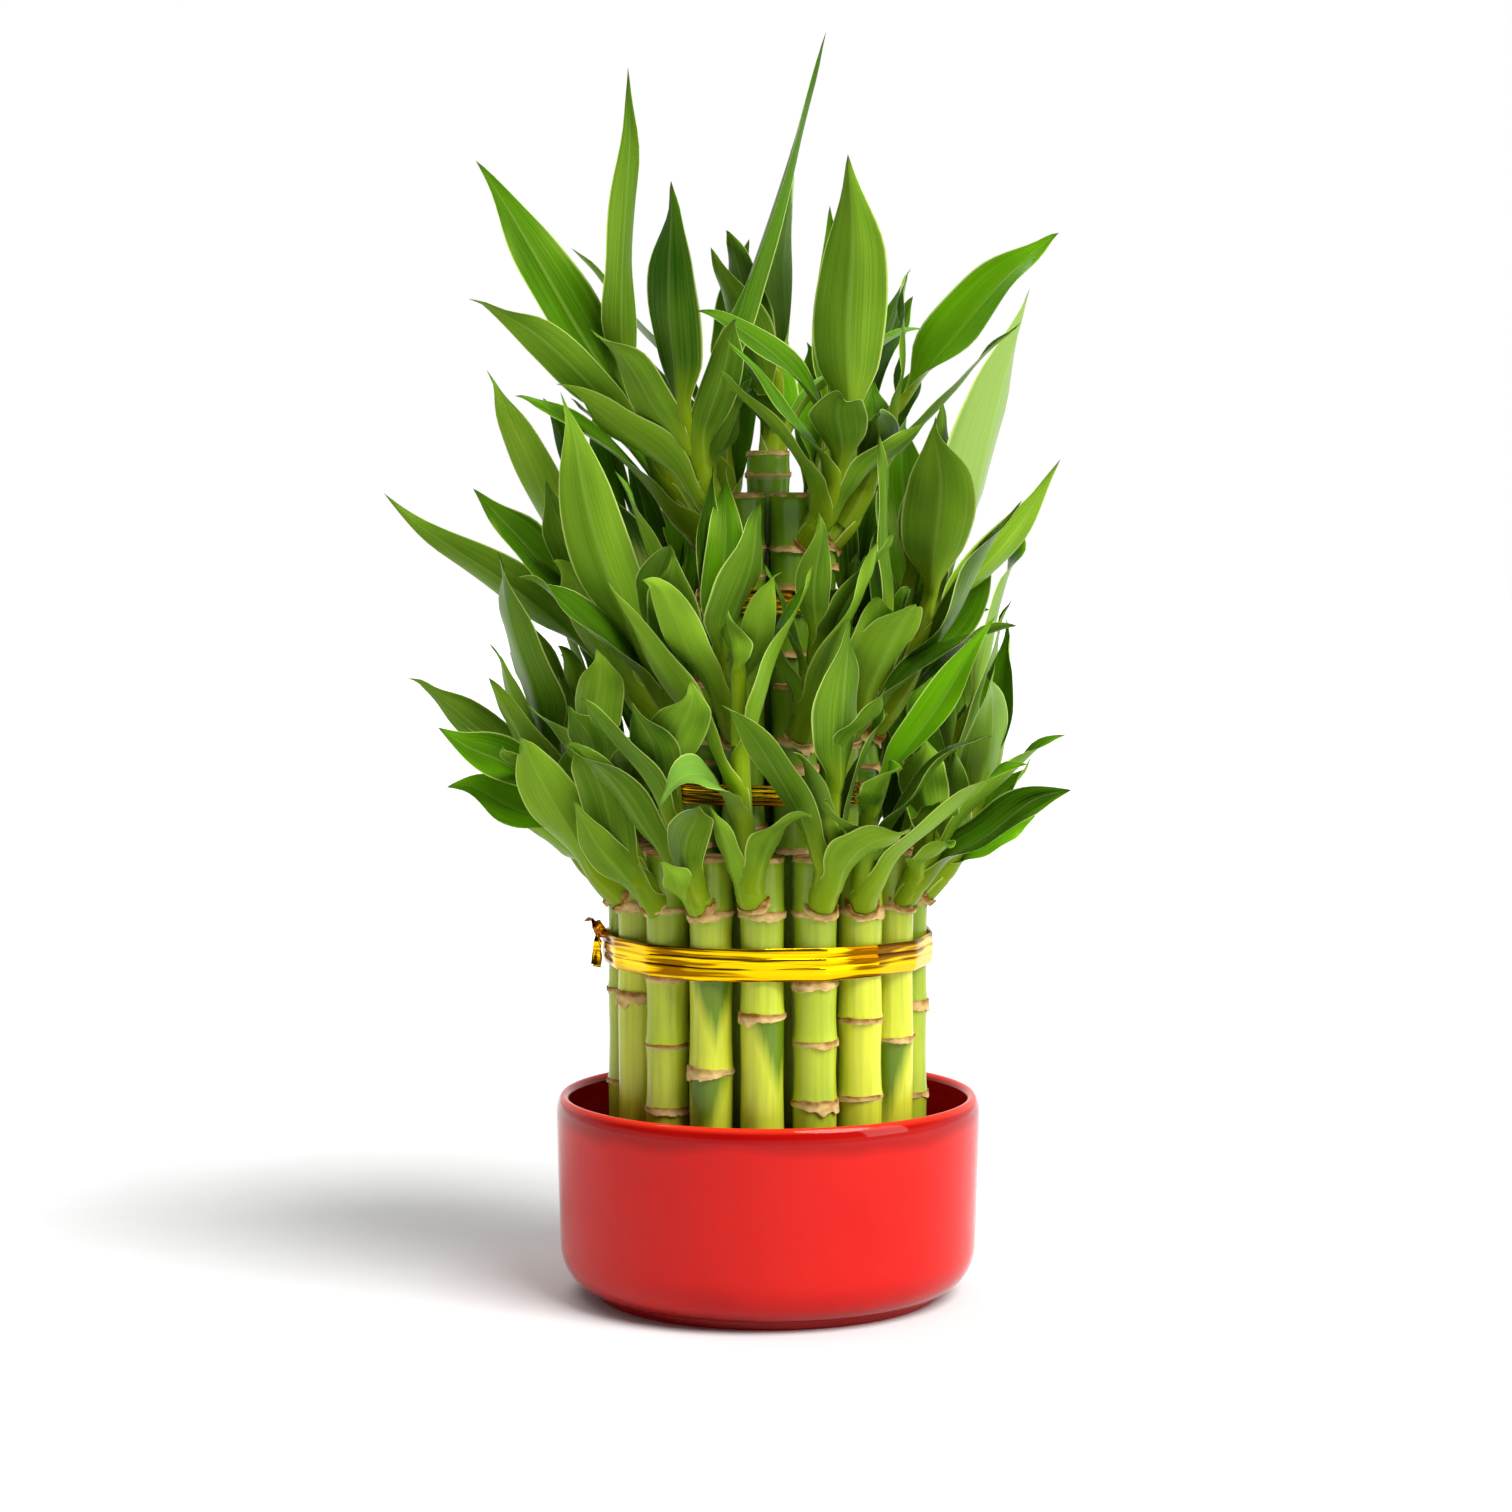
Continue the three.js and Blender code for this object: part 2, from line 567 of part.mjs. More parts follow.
// Upright prism, standing for a cane or for all that a tie holds.
function prismLoft(centre, radius, bottom, top, sides) {
  const ring = (z) => Array.from({ length: sides }, (unused, i) => {
    const angle = 2 * Math.PI * i / sides;
    return new THREE.Vector3(centre.x + radius * Math.cos(angle), centre.y + radius * Math.sin(angle), z);
  });
  const end = (z) => new THREE.Vector3(centre.x, centre.y, z);
  return loft(end(bottom), [ring(bottom), ring(top)], end(top));
}

// Everything that stands before the leaves do: canes, shoots and the ties above the lowest.
function standingThings(canes) {
  const things = canes.flatMap((cane) => [
    { owner: cane.name, own: true, surface: surfaceOf(
      prismLoft(cane.axis, CANE_RADIUS + RING_BULGE, cane.tier.node - CANE_TOP_TESTED, cane.tier.cut,
        cane.tier.sides)) },
    { owner: cane.name, own: false, surface: surfaceOf(shootLoft(cane.shoot)) },
  ]);
  for (const tie of [LOWER_TIE, MIDDLE_TIE, UPPER_TIE]) {
    const radius = TIERS[tie.tier].radius + CANE_RADIUS + RING_BULGE + TIE_THICKNESS + SEAT_GAP;
    const [bottom, top] = [tie.middle - tie.height / 2, tie.middle + tie.height / 2];
    things.push({ owner: tie.name, own: true, surface: surfaceOf(
      prismLoft(new THREE.Vector3(), radius, bottom, top, TIE_TEST_SIDES)) });
  }
  return things;
}

function leafOn(cane, at, tip, width, roll, arch) {
  return {
    root: cane.shoot.getPoint(at),
    grow: cane.shoot.getTangent(at),
    shootRadius: shootRadius(at),
    outward: cane.outward,
    tip,
    width,
    roll,
    arch,
  };
}

// Keeps a leaf if it touches nothing. Against its own cane and leaves only its free part counts.
function tryLeaf(cane, leaf, freeFrom, placed) {
  const grown = leafLoft(leaf, LEAF_CLEARANCE);
  const whole = surfaceOf(grown);
  const free = surfaceOf(grown, freeFrom);
  for (const thing of placed) {
    if (thing.owner !== cane.name && surfacesCross(whole, thing.surface)) {
      return false;
    }
    if (thing.owner === cane.name && thing.own && surfacesCross(free, thing.free ?? thing.surface)) {
      return false;
    }
  }
  const blade = leafLoft(leaf);
  placed.push({
    owner: cane.name,
    own: true,
    surface: surfaceOf(blade),
    free: surfaceOf(blade, freeFrom),
  });
  cane.leaves.push(leaf);
  return true;
}

// A leaf that the photo shows keeps its outline as seen and is moved in depth until it is clear.
function placeSeenLeaf(cane, seen, placed) {
  for (const freeFrom of [FREE_FROM_FOOT, FREE_FROM_BELLY]) {
    for (const rollShift of SEEN_ROLL_SHIFTS) {
      for (const depthShift of SEEN_DEPTH_SHIFTS) {
        const tip = new THREE.Vector3(...seen.tip).add(new THREE.Vector3(0, depthShift, 0));
        const leaf = leafOn(cane, seen.at, tip, seen.width, seen.roll + rollShift, seen.arch);
        if (tryLeaf(cane, leaf, freeFrom, placed)) {
          return;
        }
      }
    }
  }
}

// The other leaves alternate up the shoot and spread outwards, the lower ones wider.
function placeDrawnLeaf(cane, order, draw, placed) {
  for (let attempt = 0; attempt < LEAF_TRIES; attempt++) {
    const at = between([LOWEST_LEAF, 1], (order + draw()) / LEAVES_PER_SHOOT);
    const side = order % 2 === 0 ? 1 : -1;
    const turn = side * between(LEAF_TURN, draw());
    const heading = cane.outward.clone().applyAxisAngle(UP, THREE.MathUtils.degToRad(turn));
    const climb = THREE.MathUtils.degToRad(between(LEAF_CLIMB, draw()) + LEAF_CLIMB_GAIN * at);
    const shrink = 1 - LEAF_SHRINK * attempt / LEAF_TRIES;
    const length = shrink * between(LEAF_LENGTH, draw());
    const width = shrink * between(LEAF_WIDTH, draw());
    const roll = between(LEAF_ROLL, draw());
    const arch = between(LEAF_ARCH, draw());
    const tip = cane.shoot.getPoint(at)
      .addScaledVector(heading, length * Math.cos(climb))
      .addScaledVector(UP, length * Math.sin(climb));
    if (tryLeaf(cane, leafOn(cane, at, tip, width, roll, arch), FREE_FROM_FOOT, placed)) {
      return;
    }
  }
}

function growLeaves(canes, draw) {
  const placed = standingThings(canes);
  for (const cane of canes) {
    for (const seen of SEEN_SHOOTS[cane.name]?.leaves ?? []) {
      placeSeenLeaf(cane, seen, placed);
    }
  }
  for (let order = 0; order < LEAVES_PER_SHOOT; order++) {
    for (const cane of canes) {
      if (cane.leaves.length < LEAVES_PER_SHOOT) {
        placeDrawnLeaf(cane, order, draw, placed);
      }
    }
  }
}

function leafyCaneGeometry(cane) {
  const solids = [caneGeometry(cane), loftGeometry(shootLoft(cane.shoot))];
  for (const leaf of cane.leaves) {
    solids.push(loftGeometry(leafLoft(leaf)));
  }
  return toGeometry(fuse(solids.map(toSolid)));
}

// Outline that hugs a ring of canes at a distance from their axes: an arc round each, straight between.
function huggingOutline(tier, distance, arcSteps) {
  const half = 180 / tier.count;
  const outline = [];
  for (let i = 0; i < tier.count; i++) {
    const angle = tier.first + 2 * half * i;
    const axis = compass(angle).multiplyScalar(tier.radius);
    for (let step = 0; step <= arcSteps; step++) {
      const facing = compass(angle - half + 2 * half * step / arcSteps);
      const point = axis.clone().addScaledVector(facing, distance);
      outline.push(new THREE.Vector2(point.x, point.y));
    }
  }
  return outline;
}

function tieGeometry(tie) {
  const inside = CANE_RADIUS + RING_BULGE + SEAT_GAP;
  const band = new THREE.Shape(huggingOutline(TIERS[tie.tier], inside + TIE_THICKNESS, tie.arcSteps));
  band.holes.push(new THREE.Path(huggingOutline(TIERS[tie.tier], inside, tie.arcSteps)));
  return new THREE.ExtrudeGeometry(band, { depth: tie.height, bevelEnabled: false })
    .translate(0, 0, tie.middle - tie.height / 2);
}

function knotGeometry() {
  const path = new THREE.CatmullRomCurve3(KNOT_PATH.map((place) => new THREE.Vector3(...place)));
  const section = new THREE.Shape().absarc(0, 0, KNOT_WIRE_RADIUS, 0, 2 * Math.PI);
  return new THREE.ExtrudeGeometry(section, { extrudePath: path, steps: 9, curveSegments: 3 });
}

function lowerTieGeometry() {
  return toGeometry(fuse([tieGeometry(LOWER_TIE), knotGeometry()].map(toSolid)));
}

// Water round the bundle, which stands in one plain hole.
function waterGeometry() {
  const bottom = BOWL_FLOOR + SEAT_GAP;
  const corner = bowlCorner();
  const profile = [
    [0, bottom],
    ...quarterArc(corner, [BOWL_CORNER - SEAT_GAP, BOWL_CORNER - SEAT_GAP], -90, 0, 2),
    [corner[0] + BOWL_CORNER - SEAT_GAP, WATER_TOP],
    [0, WATER_TOP],
  ];
  const hole = new THREE.ExtrudeGeometry(
    new THREE.Shape(huggingOutline(TIERS[0], CANE_RADIUS + RING_BULGE + SEAT_GAP, LOWER_TIE.arcSteps)),
    { depth: WATER_TOP, bevelEnabled: false },
  ).translate(0, 0, bottom / 2);
  return toGeometry(fuse([toSolid(turned(profile, WATER_SIDES)).subtract(toSolid(hole))]));
}

function material(colour, roughness, metalness = 0) {
  return new THREE.MeshStandardMaterial({ color: colour, roughness, metalness });
}

function named(name, geometry, look) {
  const mesh = new THREE.Mesh(geometry, look);
  mesh.name = name;
  return mesh;
}

const draw = makeDraw(DRAW_SEED);
const canes = planCanes();
for (const cane of canes) {
  cane.shoot = shootCurve(cane, draw);
}
growLeaves(canes, draw);

const glaze = material('#c81923', 0.15);
const clearWater = material('#8c4a46', 0.05);
const foliage = material('#5a8f1e', 0.4);
const goldRibbon = material('#e0a020', 0.3, 1);

const luckyBamboo = new THREE.Group();
luckyBamboo.add(named('bowl', turned(bowlProfile(), BOWL_SIDES), glaze));
luckyBamboo.add(named('water', waterGeometry(), clearWater));
for (const cane of canes) {
  luckyBamboo.add(named(cane.name, leafyCaneGeometry(cane), foliage));
}
luckyBamboo.add(named(LOWER_TIE.name, lowerTieGeometry(), goldRibbon));
luckyBamboo.add(named(MIDDLE_TIE.name, tieGeometry(MIDDLE_TIE), goldRibbon));
luckyBamboo.add(named(UPPER_TIE.name, tieGeometry(UPPER_TIE), goldRibbon));

export default luckyBamboo;
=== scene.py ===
"""Lucky bamboo in a low red bowl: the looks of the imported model.

Lengths are millimetres until a mesh is made. +Z is up, and the side seen in the photo faces -Y.
"""

import math
from types import SimpleNamespace

import bmesh
import bpy
import numpy as np
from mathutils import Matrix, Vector
from mathutils.kdtree import KDTree


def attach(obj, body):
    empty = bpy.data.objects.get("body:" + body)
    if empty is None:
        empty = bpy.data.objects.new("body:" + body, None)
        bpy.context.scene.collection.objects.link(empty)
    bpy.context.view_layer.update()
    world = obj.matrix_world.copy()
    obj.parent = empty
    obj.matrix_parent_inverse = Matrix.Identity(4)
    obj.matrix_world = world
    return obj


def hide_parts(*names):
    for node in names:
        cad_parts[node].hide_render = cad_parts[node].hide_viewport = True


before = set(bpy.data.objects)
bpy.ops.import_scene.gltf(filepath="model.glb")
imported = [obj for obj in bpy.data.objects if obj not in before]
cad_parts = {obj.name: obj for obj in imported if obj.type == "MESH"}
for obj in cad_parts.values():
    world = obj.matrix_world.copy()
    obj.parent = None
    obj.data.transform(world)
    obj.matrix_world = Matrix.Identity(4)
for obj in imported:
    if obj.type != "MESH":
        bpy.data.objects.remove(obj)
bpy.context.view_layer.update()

bl_info = {
    "name": "Lucky bamboo in a red bowl",
    "version": (1, 0, 0),
    "blender": (4, 5, 0),
    "location": "3D View > Sidebar > Lucky Bamboo",
    "description": "Builds a tiered, tied lucky bamboo plant in a low glazed bowl",
    "category": "Add Mesh",
}

MM = 0.001
UP = np.array([0.0, 0.0, 1.0])
EAST = np.array([1.0, 0.0, 0.0])

# Canes, in three rings and one in the middle. The first cane's angle runs from the front towards +X. Heights
# are those of the cut top, of the node that the shoot grows from, and of the ring scars. The greater a cane's
# age and shade, the deeper its green: partly older skin, partly painted shade on the inner tiers, which stand
# in the shade of the outer canes and the leaves.
CANE_RADIUS = 5.6
RING_BULGE = 0.3
SEAT_GAP = 0.3
TIERS = (
    dict(name="outer", count=17, radius=36.5, first=-2.4, cut=119, node=105, rings=(57, 77), age_and_shade=0),
    dict(name="middle", count=11, radius=23.5, first=17, cut=162, node=148, rings=(121, 142), age_and_shade=0.9),
    dict(name="inner", count=6, radius=12.3, first=29, cut=211, node=197, rings=(171, 188), age_and_shade=1.1),
    dict(name="centre", count=1, radius=0, first=180, cut=222, node=216, rings=(175,), age_and_shade=1.5),
)

# Shoots: where they leave a cane, how far they reach out and rise, their turn in degrees, and their radii
SHOOT_BELOW_NODE = 1
SHOOT_BEND_RISE = 6
SHOOT_REACH = (13, 21)
SHOOT_RISE = (36, 48)
SHOOT_TURN = (-8, 8)
SHOOT_FOOT_RADIUS = 3.5
SHOOT_TOP_RADIUS = 1.7

# Leaf blades, as shares of their length and half width
LEAF_STATIONS = (0.18, 0.44, 0.73)
LEAF_FOOT_WIDTH = 0.42
LEAF_BELLY = 0.48
LEAF_SWELL = 1.5
LEAF_TAPER = 1.7
LEAF_FOLD_FOOT = 0.7
LEAF_FOLD_BLADE = 0.16
LEAF_SEAT = 0.3
LEAF_SHEATH_ALONG = 0.2
LEAF_SHEATH_OUT = 0.12
LEAF_BOW = 0.72
LEAF_ROLL_END = 0.45

# Leaves that the photo doesn't show are drawn between these limits
LEAVES_PER_SHOOT = 6
LOWEST_LEAF = 0.3
LEAF_TURN = (5, 90)
LEAF_CLIMB = (14, 42)
LEAF_CLIMB_GAIN = 42
LEAF_LENGTH = (44, 64)
LEAF_WIDTH = (11, 18)
LEAF_ROLL = (-35, 35)
LEAF_ARCH = (2, 11)
LEAF_TRIES = 90
LEAF_SHRINK = 0.4

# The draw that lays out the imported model
DRAW_SEED = 41
DRAW_FACTOR = 1664525
DRAW_STEP = 1013904223
DRAW_MASK = 0xFFFFFFFF

# How far a seen leaf may have rolled, in degrees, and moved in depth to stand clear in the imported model
SEEN_ROLL_SHIFTS = (0, 20, -20, 40, -40)
SEEN_DEPTH_SHIFTS = (0, -4, 4, -8, 8, -12, 12, -17, 17, -23, 23)

# Tops of the shoots that the photo shows, and their leaves: the share of the shoot's length at which a leaf
# leaves it, the leaf's tip, its width, its roll about its own length in degrees, its arch, and its tone from
# dark to pale, which holds the leaf's own green and also painted shade on dark leaves and painted light on
# pale ones; where its blade turns on its way, its twist in degrees too.
LEAF_FACTS = ("at", "tip", "width", "roll", "arch", "tone", "twist")
SEEN_SHOOTS = {
    "outer_cane_01": dict(top=(-7.5, -46, 166), leaves=(
        (0.7, (-41, -46, 190), 11, 35, 2, 0.8),
        (0.8, (11, -50, 193), 16, 10, 3, 0.75),
        (0.6, (-27, -66, 133), 14, -35, 20, 1.15),
        (0.32, (11, -68, 131), 12, 10, 12, 0.45),
        (1, (-10, -48, 182), 9, 0, 0, 0.6),
        (0.2, (-15, -54, 134), 7, 0, 0, 0.8),
    )),
    "outer_cane_02": dict(top=(16, -45, 142), leaves=(
        (0.9, (20, -50, 180), 15, 0, 2, 0.15),
        (1, (29, -50, 163), 8, 0, 0, 0.25),
        (0.7, (5.5, -58, 147), 10, -20, 6, 1.1),
    )),
    "outer_cane_03": dict(top=(25, -42, 134), leaves=(
        (0.5, (13, -56, 136), 9, -20, 4, 0.3),
        (0.9, (33, -54, 143), 14, 20, 3, 0.7),
        (1, (57, -38, 180), 10, 50, 0, 0.9),
        (0.5, (29, -53, 128), 6, 0, 0),
    )),
    "outer_cane_04": dict(top=(41, -28, 130), leaves=(
        (0.9, (39.5, -34, 149), 13, 0, 2, 0.5),
        (0.8, (43, -46, 133), 11, 0, 3, 0.3),
        (0.5, (45, -44, 122), 10, 20, 4, 0.7),
    )),
    "outer_cane_05": dict(top=(57, -7, 138), leaves=(
        (1, (62, -8, 179), 11, 60, 0, 0.9),
        (0.85, (57, -22, 168), 15, 30, 2, 0.4),
        (0.6, (68, -14, 143), 9, 40, -3, 0.6),
        (0.4, (70, -10, 127), 12, 60, 2, 1),
    )),
    "outer_cane_14": dict(top=(-55, -4, 140), leaves=(
        (0.8, (-94, -8, 163), 11, 65, 7, 0.3),
        (0.9, (-73, -2, 172), 9, 60, 0, 0.8),
        (1, (-68, -24, 196), 16, -20, 2, 0.15),
        (0.5, (-64, 12, 150), 12, 30, 4, 0.3),
    )),
    "outer_cane_15": dict(top=(-56, -19, 134), leaves=(
        (0.7, (-82, -27, 136), 14, -60, 6, 0.9),
        (0.9, (-83, -22, 152), 13, -65, 2, 0.4),
        (1, (-66, -30, 148), 8, 20, 2, 0.4),
        (0.4, (-68, -16, 126), 11, 50, 6, 0.7),
    )),
    "outer_cane_16": dict(top=(-41, -36, 146), leaves=(
        (0.1, (-49, -48, 135), 10, 40, 0, 0.5),
        (1, (-43, -42, 172), 13, 0, 2, 0.7),
        (0.85, (-50, -46, 158), 12, 20, 2, 0.1),
        (0.7, (-30, -52, 150), 12, -20, 4, 0.35),
    )),
    "outer_cane_17": dict(top=(-24, -46, 138), leaves=(
        (1, (-19, -47, 165), 15, -10, 2, 0.6),
        (0.9, (-34, -54, 160), 12, 20, 2, 0.05),
        (0.15, (-27, -56, 120), 8, 20, 0, 0.9),
    )),
    "middle_cane_01": dict(top=(12, -36, 174), leaves=(
        (0.9, (31, -52, 201), 14, 35, 2, 0.3),
        (1, (12.5, -44, 206), 9, 0, 0, 0.35),
        (0.7, (-1, -48, 193), 10, -20, 0, 0.35),
    )),
    "middle_cane_02": dict(top=(28, -30, 176), leaves=(
        (0.6, (27, -52, 185), 14, 20, 3, 0.75),
        (1, (28, -30, 226), 9, 30, 0, 0.1),
        (0.8, (20, -46, 176), 12, -10, 2, 0.35),
    )),
    "middle_cane_03": dict(top=(42, -10, 184), leaves=(
        (1, (42, -32, 230), 19, 0, 2, 0.4),
        (0.9, (70, -2, 266), 22, -60, 4, 1.3),
        (0.8, (76, -6, 220), 10, -60, -4, 0.7),
        (0.5, (63, -33, 209), 19, 55, 0, 0.05),
        (0.6, (61, 2, 199), 13, 50, 0, 0.35),
    )),
    "middle_cane_09": dict(top=(-45, -7, 184), leaves=(
        (1, (-73, -6, 243), 12, 55, 4, 0.7),
        (0.6, (-99, -14, 211), 12, 65, -3, 0.35),
        (0.8, (-75, -22, 212), 15, -55, 2, 0.25),
        (0.9, (-56, -16, 214), 13, 20, 0, 0.1),
    )),
    "middle_cane_10": dict(top=(-30, -31, 176), leaves=(
        (0.7, (-52, -38, 236), 16, 65, 2, 0.45),
        (1, (-44, -28, 216), 13, 10, 0, -0.1),
        (0.9, (-24, -42, 198), 11, -30, 3, 0.25),
    )),
    "middle_cane_11": dict(top=(-13, -39, 172), leaves=(
        (0.9, (-2, -46, 208), 17, 0, 2, 0.15),
        (1, (-11, -40, 219), 10, 10, 0, 0.4),
        (0.8, (-14, -46, 218), 9, 0, 0, 0.1),
    )),
    "inner_cane_01": dict(top=(20, -21, 226), leaves=(
        (1, (20, -26, 296), 19, 0, 2, 0.3),
        (0.8, (18, -50, 234), 15, 0, 8, 0.15),
        (0.9, (-18, -36, 256), 10, -40, 12, 0.35),
        (0.7, (-11, -44, 249), 8, -50, 0, 0.4),
    )),
    "inner_cane_02": dict(top=(32, -1, 232), leaves=(
        (1, (75, -8, 278), 17, 65, 8, 0.85),
        (0.9, (36, -8, 268), 8, 60, 0, 0.3),
        (0.7, (64, -26, 254), 8, 20, 0, 0.2),
        (0.8, (42, 14, 247), 8, 0, 3, 0.3),
        (0.6, (28, -34, 230), 11, 0, 10, 0),
    )),
    "inner_cane_03": dict(top=(18, 24, 238), leaves=(
        (1, (27, 30, 289), 13, 10, 2, 0),
        (0.9, (17, 34, 290), 12, 0, 0, 0.2),
    )),
    "inner_cane_04": dict(top=(-14, 27, 240), leaves=(
        (1, (-5, 32, 280), 12, 10, 2, 0.1),
    )),
    "inner_cane_05": dict(top=(-32, -5, 234), leaves=(
        (0.9, (-75, -12, 296), 17, -65, 3, 0.35),
        (1, (-36, -6, 320), 11, 40, -4, 0.15, 48),
        (0.8, (-75, -14, 259), 11, 60, 6, 0.35),
        (0.6, (-51, 8, 256), 11, 30, 2, 0.2),
    )),
    "inner_cane_06": dict(top=(-20, -25, 228), leaves=(
        (1, (-24.5, -30, 289), 17, 0, 2, -0.15),
        (0.9, (15, -4, 330), 9, 60, 0, 0.15, 70),
        (0.8, (-8, -42, 254), 10, -40, 8, 0.1),
        (0.7, (-4.5, -36, 240), 9, -60, 2, 0.1),
        (0.85, (-45, -34, 252), 12, 45, 2, 0.3),
    )),
    "centre_cane_01": dict(top=(2, 9, 246), leaves=(
        (1, (6, 12, 302), 14, 0, 3, 1.2),
        (0.9, (-11, 6, 280), 13, 40, 6, 0),
        (0.7, (-15, 0, 275), 12, 40, 4, 0.3),
        (0.5, (-4, -6, 238), 10, 10, 4, 0),
    )),
}

# Ring scars of the canes that the photo shows: their height, how far the dry sheath on them hangs, the side
# on which it hangs lowest, in degrees from the front, and the side of a green patch under them, or 0.
SCAR_FACTS = ("z", "high", "side", "patch")
SEEN_SCARS = {
    "outer_cane_01": ((79, 4.2, -50, 48), (48, 1, 0, 0)),
    "outer_cane_02": ((56.5, 4.4, 20, 0), (72, 1.8, 60, 0), (87, 3.6, -20, 0)),
    "outer_cane_03": ((57, 1.8, -60, 0), (77, 1.0, 0, 0)),
    "outer_cane_04": ((70.6, 1.6, 60, -15),),
    "outer_cane_05": ((54, 1.4, 60, 0), (78, 3.6, 60, 0)),
    "outer_cane_14": ((57, 1.4, -60, 0), (81, 1.6, -20, 0)),
    "outer_cane_15": ((81.5, 5.4, -30, 0),),
    "outer_cane_16": ((53.6, 1.6, 10, 0), (70, 0.8, 0, 0), (87.4, 2.4, 40, 0)),
    "outer_cane_17": ((64.5, 5.4, -55, -25), (92, 0.6, 0, 12)),
}

# Cane surface: its foot, sides and rows, and the rows near a scar; how far it is out of round, draws in
# between scars and swells at them; and the bevel, dried rim, sunken middle and dry band of its cut top
CANE_FOOT = 6.3
CANE_SIDES = 28
CANE_ROW = 2.2
SCAR_ROWS = (-1.2, -0.4, 0, 0.5, 1.3)
CANE_UNEVEN = (0.012, 0.008)
CANE_WAIST = 0.035
SCAR_SWELL = 0.32
SCAR_SWELL_HEIGHT = 1.3
CUT_BEVEL = 0.25
CUT_RIM = 0.9
CUT_DISH = 0.8
CUT_BAND = 1.5

# Rings of a cut top: rim widths in from its edge, how deep they are sunk, and their share of the way out
CUT_RINGS = ((1, 0, 0.8), (1.6, CUT_DISH, 0.55))

# Dry sheath round a scar: its least height, how far its walls lie from the skin, and how far its edge stands
# off once it hangs low enough; how ragged it is and how high it stands; how worn a short one looks; and how
# far the sheath at the node under the cut hangs
SHEATH_SIDES = 56
SHEATH_EDGE = 0.15
SHEATH_LIFT = 0.22
SHEATH_FLARE = 0.3
SHEATH_LOWEST = 0.8
SHEATH_RAGGED = 0.65
RAGGED_WAVES = 9
SHEATH_RISE = (0.45, 0.15)
WORN_THIN = 1.5
NODE_SHEATH = (1.4, 4.4)

# Sheaths and patches of the canes that the photo doesn't show: how far they hang, and their turn in degrees
# from the shoot; a turn within the last limit has a green patch under it
DRAWN_SHEATH = (0.9, 3.6)
DRAWN_SHEATH_TURN = (-70, 70)
DRAWN_PATCH_TURN = (-60, 60)
PATCH_TURN = 18

# For points with no scar or no patch over them: a height over the cut top, and a distance beside the patch
OVER_CUT = 40
NO_PATCH = 3 * CANE_RADIUS

# Shoot surface: sides and rows, its radius at the foot, the swelling below each leaf, in shares of the
# shoot's length, and the dry collar round its foot, where it comes out of the cane
SHOOT_SIDES = 14
SHOOT_ROWS = 18
SHOOT_FINE_FOOT = 3.4
SHOOT_NODE_SWELL = 0.3
SHOOT_NODE_BELOW = 0.16
SHOOT_NODE_WIDTH = 0.03
COLLAR_HEIGHT = 2.8
COLLAR_CLEAR = -1.9
COLLAR_LIFT = 0.45
COLLAR_STEPS = 200

# Fine leaf: rows along it and points across it; how its sheath wraps the shoot, in shares of half a circle,
# and opens; its thickness; and how it tapers, waves, sways, twists and folds
LEAF_ROWS = 24
LEAF_SHEATH_ROWS = 6
LEAF_CROSS = (1, 0.86, 0.62, 0.34, 0.1, 0, -0.1, -0.34, -0.62, -0.86, -1)
LEAF_SHEATH_LENGTH = 11
LEAF_SHEATH_LOWEST = 0.12
LEAF_SHEATH_SHORTEST = 0.02
LEAF_SHEATH_WRAP = 0.82
LEAF_OPEN_WRAP = 0.34
LEAF_OPEN_END = 0.24
LEAF_SHEATH_GAP = 0.2
LEAF_SHEATH_STEP = 0.17
LEAF_FINE_THICKNESS = 0.42
LEAF_EDGE_THICKNESS = 0.2
LEAF_POINT_DRAW = 0.45
LEAF_WAVE = 0.8
LEAF_WAVE_TURNS = 7.5
LEAF_RIPPLE = 0.7
LEAF_RIPPLE_TURNS = (9, 17)
LEAF_SWAY = 1.3
LEAF_SWAY_TURNS = (4, 6.5)
LEAF_TWIST = 32
LEAF_TIP_TWIST = 75
LEAF_FOLD_SPREAD = (0.6, 2.3)

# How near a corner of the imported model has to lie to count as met
MATCH_DISTANCE = 0.03

# Start of the draws that only the looks make
LOOKS_SEED = 7

# Values that every point of a leafy cane carries for its finish
SURFACE_VALUES = ("lengthwise", "crosswise", "tone")

# Finishes of a leafy cane, by their place in its list
CANE_SKIN, DRY_SHEATH, CUT_END, SHOOT_SKIN, LEAF_FACE, LEAF_BACK = range(6)

# Second colours of finishes whose first one is given where they are made
DRIED_TIP = "#2c3a12"
DULL_SKIN = "#86a01e"
GREEN_PATCH = "#386400"
WATER_STAIN = "#7a5a24"
PALE_SAND = "#d9c4ae"
DEEP_WATER = "#5a2a1c"
ROOT_STAIN = "#8a5a34"
PAPER_FIBRE = "#e4e4e4"

# Foot ring of the bowl, its eased edges, the slope to the hollow inside it and how high bare clay goes there,
# in heights of that hollow; steps up the wall; and how far the water climbs up the wall
FOOT_RING = 5
FOOT_EDGE = 0.5
FOOT_SLOPE = 2
FOOT_CLAY_REACH = 1.2
WALL_STEPS = 8
WATER_CLIMB = 1.6

# Twisted ends of the lower tie, and a loose brown end beside them
KNOT_PATH = ((-42.6, -3, 95), (-44.2, -4, 98.5), (-45.2, -2.6, 97), (-44.6, -4, 93), (-45, -2.8, 90),
             (-45.2, -3.6, 87))
LOOSE_END = ((-43, -3.5, 95), (-45, -3, 97.5), (-46.5, -3.5, 99.5), (-47.5, -4.2, 99))

# How far the middle of a tie's film runs from the axes of the canes that it holds, and its steps round each
TIE_DISTANCE = CANE_RADIUS + RING_BULGE + SEAT_GAP + 0.45
TIE_STEPS = 6
UPPER_TIE_STEPS = 8

